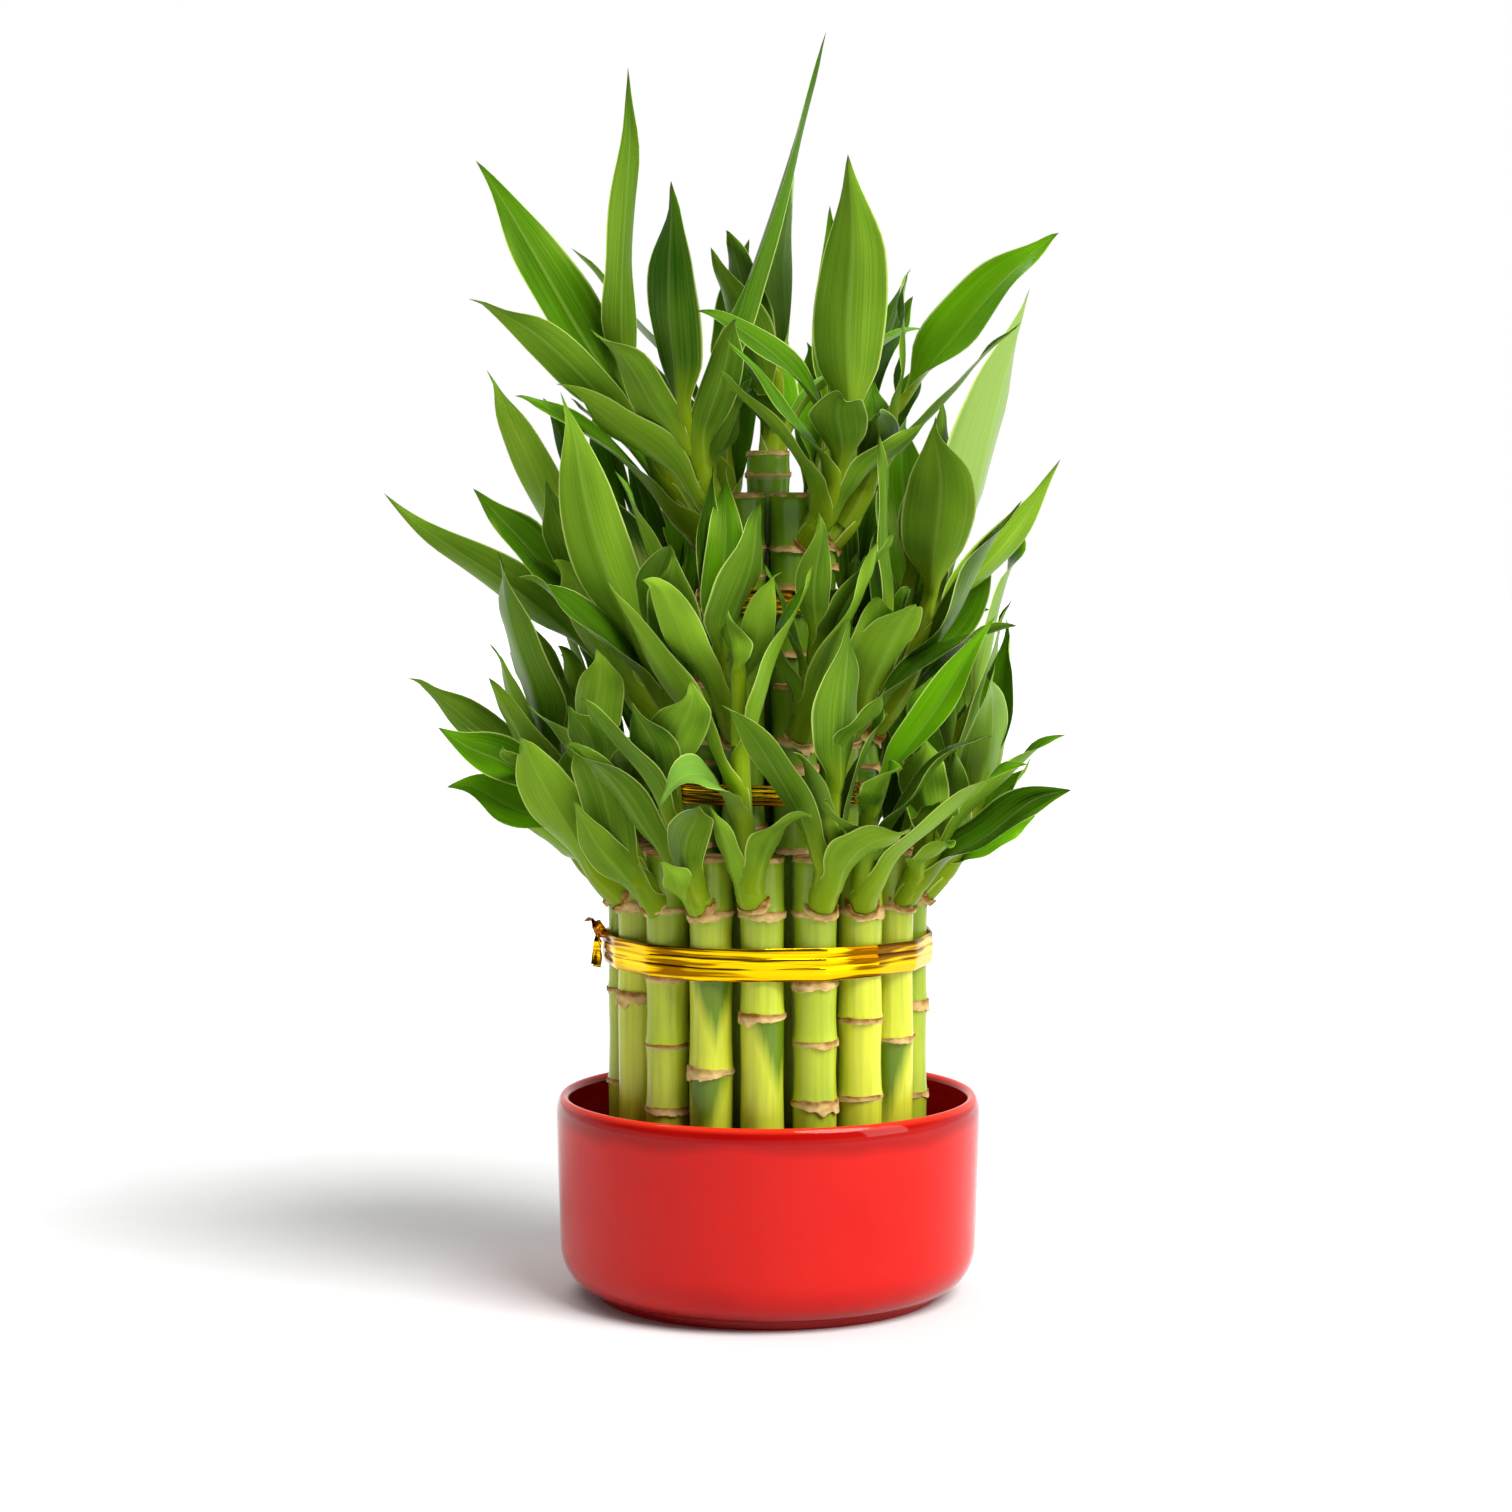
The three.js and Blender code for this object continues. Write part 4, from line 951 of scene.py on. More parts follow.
def add_leaf(skin, cane, leaf, rank, dice):
    """Leaf as one closed body: a sheath that wraps the shoot and opens into a folded, pointed blade."""
    blade_shares = np.linspace(0, 1, LEAF_ROWS + 1) ** 1.05
    *sheath, grip = sheath_rows(cane, leaf, rank)
    blade = blade_rows(leaf, blade_shares, sheath, dice)
    rows = [np.concatenate([low[:-1], high]) for low, high in zip(sheath, blade)]
    grip = np.concatenate([grip[:-1], np.full(len(blade_shares), grip[-1])])
    shares = np.concatenate([np.linspace(-0.2, 0, LEAF_SHEATH_ROWS + 1)[:-1], blade_shares])
    x, y = leaf_sections(leaf, shares, grip, dice)
    rings = leaf_rings(rows, shares, x, y)[:-1]
    tone = dice.uniform(0, 1) if leaf.tone is None else leaf.tone
    first = skin.add_points(rings, shares[:-1, None], LEAF_CROSS + LEAF_CROSS[-2:0:-1], tone)
    count, sides = rings.shape[:2]
    face = len(LEAF_CROSS)
    finish = [LEAF_FACE] * (face - 1) + [LEAF_BACK] * (sides - face + 1)
    skin.add_faces(ring_faces(first, count, sides), finish * (count - 1))
    tip = rows[0][-1]
    skin.add_cap(tip, first + (count - 1) * sides, sides, finish, 1, 0, tone)
    add_sheath_rim(skin, first, face, sides)


def add_sheath_rim(skin, first, face_points, sides):
    """Closes the lower rim of a leaf's sheath, between its face and its back."""
    for k in range(face_points - 1):
        back = (sides - k) % sides
        beyond = sides - k - 1
        corners = dict.fromkeys([k + 1, k, back, beyond])
        skin.add_faces([[first + corner for corner in corners]], LEAF_BACK)


def mesh_of(name, skin, finishes):
    """Smooth mesh of a skin, in metres, with its surface values as attributes."""
    mesh = bpy.data.meshes.new(name)
    mesh.from_pydata((np.concatenate(skin.points) * MM).tolist(), [], skin.faces)
    for finish in finishes:
        mesh.materials.append(finish)
    mesh.polygons.foreach_set("material_index", skin.finishes)
    mesh.polygons.foreach_set("use_smooth", [True] * len(skin.faces))
    values = np.concatenate(skin.values)
    for column, label in enumerate(SURFACE_VALUES):
        layer = mesh.attributes.new(label, "FLOAT", "POINT")
        layer.data.foreach_set("value", values[:, column].astype(np.float32))
    mesh.set_sharp_from_angle(angle=math.radians(LEAF_SHARP_ANGLE))
    mesh.validate()
    return mesh


def show(name, mesh, nodes=()):
    """Finished piece in the scene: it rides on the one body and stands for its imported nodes."""
    piece = bpy.data.objects.new(name, mesh)
    bpy.context.scene.collection.objects.link(piece)
    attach(piece, "root")
    if nodes:
        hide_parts(*nodes)
    return piece


def join(tree, node, links):
    """Fills sockets of a node: from a node or one of its outputs, with a hex colour or with a plain value."""
    for socket, source in links.items():
        if isinstance(source, bpy.types.Node):
            source = next(output for output in source.outputs if output.enabled)
        if isinstance(source, bpy.types.NodeSocket):
            tree.links.new(source, node.inputs[socket])
        else:
            value = colour_of(source) if isinstance(source, str) else source
            node.inputs[socket].default_value = value


def put(tree, kind, links=None, **settings):
    """Adds one node with its settings, and fills its sockets."""
    node = tree.nodes.new(kind)
    for name, value in settings.items():
        setattr(node, name, value)
    join(tree, node, links or {})
    return node


def colour_of(code):
    """Linear colour with alpha of an sRGB hex code."""
    shares = [int(code[i:i + 2], 16) / 255 for i in (1, 3, 5)]
    return tuple(s / 12.92 if s <= 0.04045 else ((s + 0.055) / 1.055) ** 2.4 for s in shares) + (1.0,)


def new_finish(name, roughness, ior=1.45, **sockets):
    """Material with a Principled surface whose plain values sit on its own sockets."""
    finish = bpy.data.materials.new(name)
    finish.use_nodes = True
    surface = finish.node_tree.nodes["Principled BSDF"]
    surface.inputs["Roughness"].default_value = roughness
    surface.inputs["IOR"].default_value = ior
    for socket, value in sockets.items():
        surface.inputs[socket.replace("_", " ")].default_value = value
    return finish, finish.node_tree, surface


def leaf_finish(name, deep, bright, rib, foot, bloom_and_sheen, roughness):
    """Blade of a dracaena leaf: a waxy skin over fine parallel veins, with a paler rib and margin.

    The veins are about 0.3 mm apart; drawn 0.6 mm apart they still show at this size.
    """
    finish, tree, surface = new_finish(
        name, roughness, Specular_IOR_Level=0.16, Specular_Tint=(0.8, 1, 0.1, 1))
    along, across, tone = [put(tree, "ShaderNodeAttribute", attribute_name=name).outputs["Fac"]
                           for name in SURFACE_VALUES]
    size = put(tree, "ShaderNodeMath", {0: across}, operation="ABSOLUTE")
    spot = put(tree, "ShaderNodeCombineXYZ", {"X": across, "Y": along, "Z": tone})
    stretch = put(tree, "ShaderNodeVectorMath", {0: spot, 1: (16, 1.2, 40)}, operation="MULTIPLY")
    veins = put(tree, "ShaderNodeTexNoise", {"Vector": stretch, "Scale": 1.0, "Detail": 2.0})
    cloud_spot = put(tree, "ShaderNodeVectorMath", {0: spot, 1: (1.2, 2.6, 30)}, operation="MULTIPLY")
    clouds = put(tree, "ShaderNodeTexNoise", {"Vector": cloud_spot, "Scale": 1.0, "Detail": 1.0})
    # A leaf's tone holds its own green, and also painted shade on dark leaves and painted light on pale ones.
    lined = put(tree, "ShaderNodeMath", {0: veins, 1: 0.28, 2: tone}, operation="MULTIPLY_ADD")
    shade = put(tree, "ShaderNodeMath", {0: clouds, 1: 0.85, 2: lined}, operation="MULTIPLY_ADD")
    body = put(tree, "ShaderNodeMapRange", {"Value": shade, "From Min": 0.35, "From Max": 1.6})
    green = put(tree, "ShaderNodeMix", {"Factor": body, "A": deep, "B": bright}, data_type="RGBA")
    vein_share = put(tree, "ShaderNodeMapRange", {"Value": veins, "From Min": 0.4, "From Max": 0.75,
                                                  "To Max": 0.06})
    # Tones over 1 turn pale: a waxy bloom, and painted sheen on the lit leaves.
    bloom_and_sheen_share = put(tree, "ShaderNodeMapRange", {"Value": tone, "From Min": 1.0, "From Max": 1.3, "To Max": 0.8})
    with_bloom_and_sheen = put(tree, "ShaderNodeMix", {"Factor": bloom_and_sheen_share, "A": green, "B": bloom_and_sheen}, data_type="RGBA")
    midrib = put(tree, "ShaderNodeMapRange", {"Value": size, "From Min": 0.02, "From Max": 0.1,
                                              "To Min": 0.1, "To Max": 0.0})
    margin = put(tree, "ShaderNodeMapRange", {"Value": size, "From Min": 0.93, "From Max": 0.98,
                                              "To Max": 0.65})
    base = put(tree, "ShaderNodeMapRange", {"Value": along, "From Min": 0.02, "From Max": 0.3,
                                            "To Min": 0.85, "To Max": 0.0})
    footed = put(tree, "ShaderNodeMix", {"Factor": base, "A": with_bloom_and_sheen, "B": foot}, data_type="RGBA")
    lines = put(tree, "ShaderNodeMath", {0: midrib, 1: margin}, operation="MAXIMUM")
    pale = put(tree, "ShaderNodeMath", {0: lines, 1: vein_share}, operation="MAXIMUM")
    edged = put(tree, "ShaderNodeMix", {"Factor": pale, "A": footed, "B": rib}, data_type="RGBA")
    tip = put(tree, "ShaderNodeMapRange", {"Value": along, "From Min": 0.93, "From Max": 1.0, "To Max": 0.7})
    whole = put(tree, "ShaderNodeMix", {"Factor": tip, "A": edged, "B": DRIED_TIP}, data_type="RGBA")
    gloss = put(tree, "ShaderNodeMapRange", {"Value": clouds, "To Min": roughness - 0.08,
                                             "To Max": roughness + 0.1})
    bump = put(tree, "ShaderNodeBump", {"Height": veins, "Strength": 0.25, "Distance": 0.0004})
    join(tree, surface, {"Base Color": whole, "Roughness": gloss, "Normal": bump})
    return finish


def cane_finish(deep, bright, scar):
    """Skin of a green cane: smooth and waxy, streaked lengthwise, paler where a sheath has lain on it."""
    finish, tree, surface = new_finish("waxy_cane_skin", 0.26, Specular_IOR_Level=0.35)
    below, around, tone = [put(tree, "ShaderNodeAttribute", attribute_name=name).outputs["Fac"]
                           for name in SURFACE_VALUES]
    place = put(tree, "ShaderNodeTexCoord").outputs["Object"]
    stretch = put(tree, "ShaderNodeVectorMath", {0: place, 1: (700, 700, 28)}, operation="MULTIPLY")
    streaks = put(tree, "ShaderNodeTexNoise", {"Vector": stretch, "Scale": 1.0, "Detail": 3.0})
    clouds = put(tree, "ShaderNodeTexNoise", {"Vector": place, "Scale": 60.0, "Detail": 2.0})
    shade = put(tree, "ShaderNodeMath", {0: clouds, 1: 0.8, 2: tone}, operation="MULTIPLY_ADD")
    body = put(tree, "ShaderNodeMapRange", {"Value": shade, "From Min": 0.2, "From Max": 1.3})
    young = put(tree, "ShaderNodeMix", {"Factor": body, "A": DULL_SKIN, "B": bright}, data_type="RGBA")
    # A low tone deepens the green: older skin and the painted shade of the inner tiers.
    age_and_shade = put(tree, "ShaderNodeMapRange", {"Value": tone, "From Min": -0.9, "From Max": 0.1,
                                           "To Min": 0.9, "To Max": 0.0})
    height = put(tree, "ShaderNodeSeparateXYZ", {"Vector": place}).outputs["Z"]
    # Deeper green above about 90 mm, under the leaves: painted shade.
    upper = put(tree, "ShaderNodeMapRange", {"Value": height, "From Min": 0.09, "From Max": 0.108,
                                             "To Max": 0.6})
    deeper = put(tree, "ShaderNodeMath", {0: age_and_shade, 1: upper}, operation="MAXIMUM")
    skin = put(tree, "ShaderNodeMix", {"Factor": deeper, "A": young, "B": deep}, data_type="RGBA")
    streak = put(tree, "ShaderNodeMapRange", {"Value": streaks, "From Min": 0.45, "From Max": 0.75,
                                              "To Max": 0.35})
    streaked = put(tree, "ShaderNodeMix", {"Factor": streak, "A": skin, "B": deep}, data_type="RGBA")
    slant = put(tree, "ShaderNodeMath", {0: below, 1: 0.4, 2: around}, operation="MULTIPLY_ADD")
    uneven = put(tree, "ShaderNodeMath", {0: streaks, 1: 4.5, 2: slant}, operation="MULTIPLY_ADD")
    patch = put(tree, "ShaderNodeMapRange", {"Value": uneven, "From Min": 8.0, "From Max": 11.5,
                                             "To Min": 0.85, "To Max": 0.0})
    patched = put(tree, "ShaderNodeMix", {"Factor": patch, "A": streaked, "B": GREEN_PATCH}, data_type="RGBA")
    near = put(tree, "ShaderNodeMapRange", {"Value": below, "From Min": 0.0, "From Max": 1.6,
                                            "To Min": 0.7, "To Max": 0.0})
    ringed = put(tree, "ShaderNodeMix", {"Factor": near, "A": patched, "B": scar}, data_type="RGBA")
    foot = put(tree, "ShaderNodeMapRange", {"Value": height, "From Min": 0.045, "From Max": 0.06,
                                            "To Min": 0.5, "To Max": 0.0})
    stained = put(tree, "ShaderNodeMath", {0: foot, 1: clouds}, operation="MULTIPLY")
    whole = put(tree, "ShaderNodeMix", {"Factor": stained, "A": ringed, "B": WATER_STAIN}, data_type="RGBA")
    bump = put(tree, "ShaderNodeBump", {"Height": streaks, "Strength": 0.25, "Distance": 0.0002})
    join(tree, surface, {"Base Color": whole, "Normal": bump})
    return finish


def dry_sheath_finish(pale, dark):
    """Dead leaf sheath: papery and matt, tan with brown fibres and a darker line at its rim."""
    finish, tree, surface = new_finish("dry_leaf_sheath", 0.7, Specular_IOR_Level=0.2)
    place = put(tree, "ShaderNodeTexCoord").outputs["Object"]
    stretch = put(tree, "ShaderNodeVectorMath", {0: place, 1: (420, 420, 700)}, operation="MULTIPLY")
    fibres = put(tree, "ShaderNodeTexNoise", {"Vector": stretch, "Scale": 1.0, "Detail": 3.0})
    level = put(tree, "ShaderNodeAttribute", attribute_name="lengthwise").outputs["Fac"]
    tone = put(tree, "ShaderNodeAttribute", attribute_name="tone").outputs["Fac"]
    rim = put(tree, "ShaderNodeMapRange", {"Value": level, "From Min": -0.6, "From Max": 0.5})
    mixed = put(tree, "ShaderNodeMath", {0: fibres, 1: 2.8, 2: rim}, operation="MULTIPLY_ADD")
    aged = put(tree, "ShaderNodeMath", {0: tone, 1: 0.8, 2: mixed}, operation="MULTIPLY_ADD")
    share = put(tree, "ShaderNodeMapRange", {"Value": aged, "From Min": 1.3, "From Max": 3.3})
    whole = put(tree, "ShaderNodeMix", {"Factor": share, "A": pale, "B": dark}, data_type="RGBA")
    bump = put(tree, "ShaderNodeBump", {"Height": fibres, "Strength": 0.6, "Distance": 0.0003})
    join(tree, surface, {"Base Color": whole, "Normal": bump})
    return finish


def cut_end_finish(rim, middle):
    """Sawn end of a cane: a dried tan rim round dark, damp pith."""
    finish, tree, surface = new_finish("sawn_cane_end", 0.5)
    reach = put(tree, "ShaderNodeAttribute", attribute_name="lengthwise").outputs["Fac"]
    place = put(tree, "ShaderNodeTexCoord").outputs["Object"]
    pith = put(tree, "ShaderNodeTexNoise", {"Vector": place, "Scale": 900.0, "Detail": 3.0})
    uneven = put(tree, "ShaderNodeMath", {0: pith, 1: 0.25, 2: reach}, operation="MULTIPLY_ADD")
    share = put(tree, "ShaderNodeMapRange", {"Value": uneven, "From Min": 0.66, "From Max": 0.9})
    whole = put(tree, "ShaderNodeMix", {"Factor": share, "A": middle, "B": rim}, data_type="RGBA")
    bump = put(tree, "ShaderNodeBump", {"Height": pith, "Strength": 0.5, "Distance": 0.0003})
    join(tree, surface, {"Base Color": whole, "Normal": bump})
    return finish


def shoot_finish(deep, bright):
    """Young shoot: smooth, juicy and yellow-green, deeper towards its top."""
    finish, tree, surface = new_finish("young_shoot_skin", 0.3, Specular_IOR_Level=0.25)
    along = put(tree, "ShaderNodeAttribute", attribute_name="lengthwise").outputs["Fac"]
    place = put(tree, "ShaderNodeTexCoord").outputs["Object"]
    stretch = put(tree, "ShaderNodeVectorMath", {0: place, 1: (600, 600, 60)}, operation="MULTIPLY")
    streaks = put(tree, "ShaderNodeTexNoise", {"Vector": stretch, "Scale": 1.0, "Detail": 2.0})
    mixed = put(tree, "ShaderNodeMath", {0: along, 1: 0.6, 2: streaks}, operation="MULTIPLY_ADD")
    share = put(tree, "ShaderNodeMapRange", {"Value": mixed, "From Min": 0.3, "From Max": 1.2})
    whole = put(tree, "ShaderNodeMix", {"Factor": share, "A": bright, "B": deep}, data_type="RGBA")
    bump = put(tree, "ShaderNodeBump", {"Height": streaks, "Strength": 0.2, "Distance": 0.0002})
    join(tree, surface, {"Base Color": whole, "Normal": bump})
    return finish


def glaze_finish(colour, thin, pooled_and_shaded):
    """Glossy red glaze over clay: thin and orange over the lip, deeper red inside, under the lip and low
    down: pooled glaze with painted shade inside and near the foot, and a painted dark reflection under the
    lip.
    """
    finish, tree, surface = new_finish("glossy_red_glaze", 0.05, ior=1.5, Specular_IOR_Level=0.2)
    place = put(tree, "ShaderNodeTexCoord").outputs["Object"]
    height = put(tree, "ShaderNodeSeparateXYZ", {"Vector": place}).outputs["Z"]
    level = put(tree, "ShaderNodeVectorMath", {0: place, 1: (1, 1, 0)}, operation="MULTIPLY")
    reach = put(tree, "ShaderNodeVectorMath", {0: level}, operation="LENGTH")
    waves = put(tree, "ShaderNodeTexNoise", {"Vector": place, "Scale": 45.0, "Detail": 2.0})
    pores = put(tree, "ShaderNodeTexNoise", {"Vector": place, "Scale": 420.0, "Detail": 2.0})
    runs = put(tree, "ShaderNodeMath", {0: waves, 1: 0.006, 2: height}, operation="MULTIPLY_ADD")
    # Darker band just under the lip: painted dark reflection.
    under_lip = put(tree, "ShaderNodeMapRange", {"Value": runs, "From Min": 0.0485, "From Max": 0.0515,
                                                 "To Max": 0.75})
    # Darker near the foot: pooled glaze and painted shade.
    foot = put(tree, "ShaderNodeMapRange", {"Value": runs, "From Min": 0.004, "From Max": 0.016,
                                            "To Min": 0.6, "To Max": 0.0})
    # Darker inside the wall: painted shade, with pooled glaze.
    inside = put(tree, "ShaderNodeMapRange", {"Value": reach, "From Min": 0.0515, "From Max": 0.0535,
                                              "To Min": 0.8, "To Max": 0.0})
    outside = put(tree, "ShaderNodeMath", {0: under_lip, 1: foot}, operation="MAXIMUM")
    thick = put(tree, "ShaderNodeMath", {0: outside, 1: inside}, operation="MAXIMUM")
    deep = put(tree, "ShaderNodeMix", {"Factor": thick, "A": colour, "B": pooled_and_shaded}, data_type="RGBA")
    lip = put(tree, "ShaderNodeMapRange", {"Value": height, "From Min": 0.0515, "From Max": 0.0526,
                                           "To Max": 0.85})
    depth = put(tree, "ShaderNodeMapRange", {"Value": waves, "From Min": 0.3, "From Max": 0.75,
                                             "To Max": 0.1})
    share = put(tree, "ShaderNodeMath", {0: lip, 1: depth}, operation="MAXIMUM")
    whole = put(tree, "ShaderNodeMix", {"Factor": share, "A": deep, "B": thin}, data_type="RGBA")
    gloss = put(tree, "ShaderNodeMapRange", {"Value": pores, "To Min": 0.03, "To Max": 0.07})
    bump = put(tree, "ShaderNodeBump", {"Height": waves, "Strength": 0.2, "Distance": 0.001})
    join(tree, surface, {"Base Color": whole, "Roughness": gloss, "Normal": bump})
    return finish


def clay_finish(colour):
    """Bare fired clay under the foot: matt, with fine sand in it."""
    finish, tree, surface = new_finish("bare_fired_clay", 0.85)
    place = put(tree, "ShaderNodeTexCoord").outputs["Object"]
    sand = put(tree, "ShaderNodeTexNoise", {"Vector": place, "Scale": 900.0, "Detail": 3.0})
    whole = put(tree, "ShaderNodeMix", {"Factor": sand, "A": colour, "B": PALE_SAND}, data_type="RGBA")
    bump = put(tree, "ShaderNodeBump", {"Height": sand, "Strength": 0.4, "Distance": 0.0002})
    join(tree, surface, {"Base Color": whole, "Normal": bump})
    return finish


def water_finish(colour):
    """Still water over the red glaze: mirror-like and tinted by what lies under it."""
    finish, tree, surface = new_finish("still_water", 0.04, ior=1.33)
    place = put(tree, "ShaderNodeTexCoord").outputs["Object"]
    depth = put(tree, "ShaderNodeTexNoise", {"Vector": place, "Scale": 35.0, "Detail": 2.0})
    whole = put(tree, "ShaderNodeMix", {"Factor": depth, "A": colour, "B": DEEP_WATER}, data_type="RGBA")
    bump = put(tree, "ShaderNodeBump", {"Height": depth, "Strength": 0.05, "Distance": 0.001})
    join(tree, surface, {"Base Color": whole, "Normal": bump})
    return finish


def gold_finish(name, colour, shadow, roughness):
    """Metallised plastic film, pulled tight: a bright mirror with darker lengthwise lines, which paint its
    creases and the dark reflections and shade in its folds.
    """
    finish, tree, surface = new_finish(name, roughness, Metallic=1.0)
    place = put(tree, "ShaderNodeTexCoord").outputs["Object"]
    stretch = put(tree, "ShaderNodeVectorMath", {0: place, 1: (26, 26, 620)}, operation="MULTIPLY")
    lines = put(tree, "ShaderNodeTexNoise", {"Vector": stretch, "Scale": 1.0, "Detail": 2.0})
    facets = put(tree, "ShaderNodeTexNoise", {"Vector": place, "Scale": 55.0, "Detail": 1.0})
    # Darker lines where facets and creases meet: painted dark reflection and shade.
    creases_and_reflections = put(tree, "ShaderNodeMath", {0: facets, 1: 0.9, 2: lines}, operation="MULTIPLY_ADD")
    share = put(tree, "ShaderNodeMapRange", {"Value": creases_and_reflections, "From Min": 0.88, "From Max": 0.99,
                                             "To Max": 0.9})
    whole = put(tree, "ShaderNodeMix", {"Factor": share, "A": colour, "B": shadow}, data_type="RGBA")
    bump = put(tree, "ShaderNodeBump", {"Height": lines, "Strength": 0.3, "Distance": 0.001})
    join(tree, surface, {"Base Color": whole, "Normal": bump})
    return finish


def rootlet_finish(colour):
    """Thin water root: pale, soft and slightly stained."""
    finish, tree, surface = new_finish("pale_rootlet", 0.6)
    place = put(tree, "ShaderNodeTexCoord").outputs["Object"]
    stain = put(tree, "ShaderNodeTexNoise", {"Vector": place, "Scale": 300.0, "Detail": 2.0})
    whole = put(tree, "ShaderNodeMix", {"Factor": stain, "A": colour, "B": ROOT_STAIN}, data_type="RGBA")
    join(tree, surface, {"Base Color": whole})
    return finish


def paper_finish(colour):
    """Seamless studio paper: even and matt, with the faintest mottling, and lit from behind further out."""
    finish, tree, surface = new_finish("studio_paper", 0.9, Emission_Color=(1, 1, 1, 1))
    place = put(tree, "ShaderNodeTexCoord").outputs["Object"]
    reach = put(tree, "ShaderNodeVectorMath", {0: place}, operation="LENGTH")
    glow = put(tree, "ShaderNodeMapRange", {"Value": reach, "From Min": 0.2, "From Max": 0.8, "To Max": 0.4})
    fibre = put(tree, "ShaderNodeTexNoise", {"Vector": place, "Scale": 40.0})
    whole = put(tree, "ShaderNodeMix", {"Factor": fibre, "A": colour, "B": PAPER_FIBRE}, data_type="RGBA")
    join(tree, surface, {"Emission Strength": glow, "Base Color": whole})
    return finish


def input_socket(tree, name, kind, default=None):
    """Adds a named input to a geometry tree."""
    socket = tree.interface.new_socket(name, in_out="INPUT", socket_type=kind)
    if default is not None:
        socket.default_value = default


def close_tree(tree, geometry, finish):
    """Ends a geometry tree in plain geometry with its finish on it."""
    real = put(tree, "GeometryNodeRealizeInstances", {"Geometry": geometry})
    done = put(tree, "GeometryNodeSetMaterial", {"Geometry": real, "Material": finish})
    put(tree, "NodeGroupOutput", {0: done})


def wound_film():
    """Film or strand wound along a path: several turns one over the other, tilted and wandering a little."""
    tree = bpy.data.node_groups.new(wound_film.__name__, "GeometryNodeTree")
    input_socket(tree, "Path", "NodeSocketGeometry")
    input_socket(tree, "Turns", "NodeSocketInt", 3)
    for name in ("Height", "Thickness", "Rise", "Tilt", "Twist", "Wander"):
        input_socket(tree, name, "NodeSocketFloat", 0.0)
    input_socket(tree, "Seed", "NodeSocketInt", 1)
    input_socket(tree, "Film", "NodeSocketMaterial")
    tree.interface.new_socket("Strands", in_out="OUTPUT", socket_type="NodeSocketGeometry")
    given = put(tree, "NodeGroupInput").outputs
    path = put(tree, "GeometryNodeMeshToCurve", {"Mesh": given["Path"]})
    turns = put(tree, "GeometryNodeDuplicateElements", {"Geometry": path, "Amount": given["Turns"]},
                domain="SPLINE")
    number = turns.outputs["Duplicate Index"]
    last = put(tree, "ShaderNodeMath", {0: given["Turns"], 1: 1.0}, operation="SUBTRACT")
    middle = put(tree, "ShaderNodeMath", {0: last, 1: 0.5}, operation="MULTIPLY")
    from_middle = put(tree, "ShaderNodeMath", {0: number, 1: middle}, operation="SUBTRACT")
    level = put(tree, "ShaderNodeMath", {0: from_middle, 1: given["Rise"]}, operation="MULTIPLY")
    place = put(tree, "GeometryNodeInputPosition")
    draw = put(tree, "ShaderNodeMath", {0: number, 1: 3.7, 2: given["Seed"]}, operation="MULTIPLY_ADD")
    noise = put(tree, "ShaderNodeTexNoise", {"Vector": place, "W": draw, "Scale": 35.0},
                noise_dimensions="4D").outputs["Color"]
    centred = put(tree, "ShaderNodeVectorMath", {0: noise, 1: (0.5, 0.5, 0.5)}, operation="SUBTRACT")
    stray = put(tree, "ShaderNodeVectorMath", {0: centred, "Scale": given["Wander"]}, operation="SCALE")
    lift = put(tree, "ShaderNodeCombineXYZ", {"Z": level})
    move = put(tree, "ShaderNodeVectorMath", {0: lift, 1: stray}, operation="ADD")
    moved = put(tree, "GeometryNodeSetPosition", {"Geometry": turns.outputs["Geometry"], "Offset": move})
    upright = put(tree, "GeometryNodeSetCurveNormal", {"Curve": moved}, mode="Z_UP")
    chance = put(tree, "FunctionNodeRandomValue", {"Min": -1.0, "Max": 1.0, "ID": number,
                                                   "Seed": given["Seed"]}, data_type="FLOAT")
    lean = put(tree, "ShaderNodeMath", {0: chance, 1: given["Tilt"]}, operation="MULTIPLY")
    run = put(tree, "GeometryNodeSplineParameter").outputs["Length"]
    tilt = put(tree, "ShaderNodeMath", {0: run, 1: given["Twist"], 2: lean}, operation="MULTIPLY_ADD")
    turned = put(tree, "GeometryNodeSetCurveTilt", {"Curve": upright, "Tilt": tilt})
    round_section = put(tree, "GeometryNodeCurvePrimitiveCircle", {"Resolution": 12, "Radius": 0.5})
    measure = put(tree, "ShaderNodeCombineXYZ", {"X": given["Thickness"], "Y": given["Height"], "Z": 1.0})
    section = put(tree, "GeometryNodeTransform", {"Geometry": round_section, "Scale": measure})
    strands = put(tree, "GeometryNodeCurveToMesh", {"Curve": turned, "Profile Curve": section,
                                                    "Fill Caps": True})
    close_tree(tree, strands, given["Film"])
    return tree


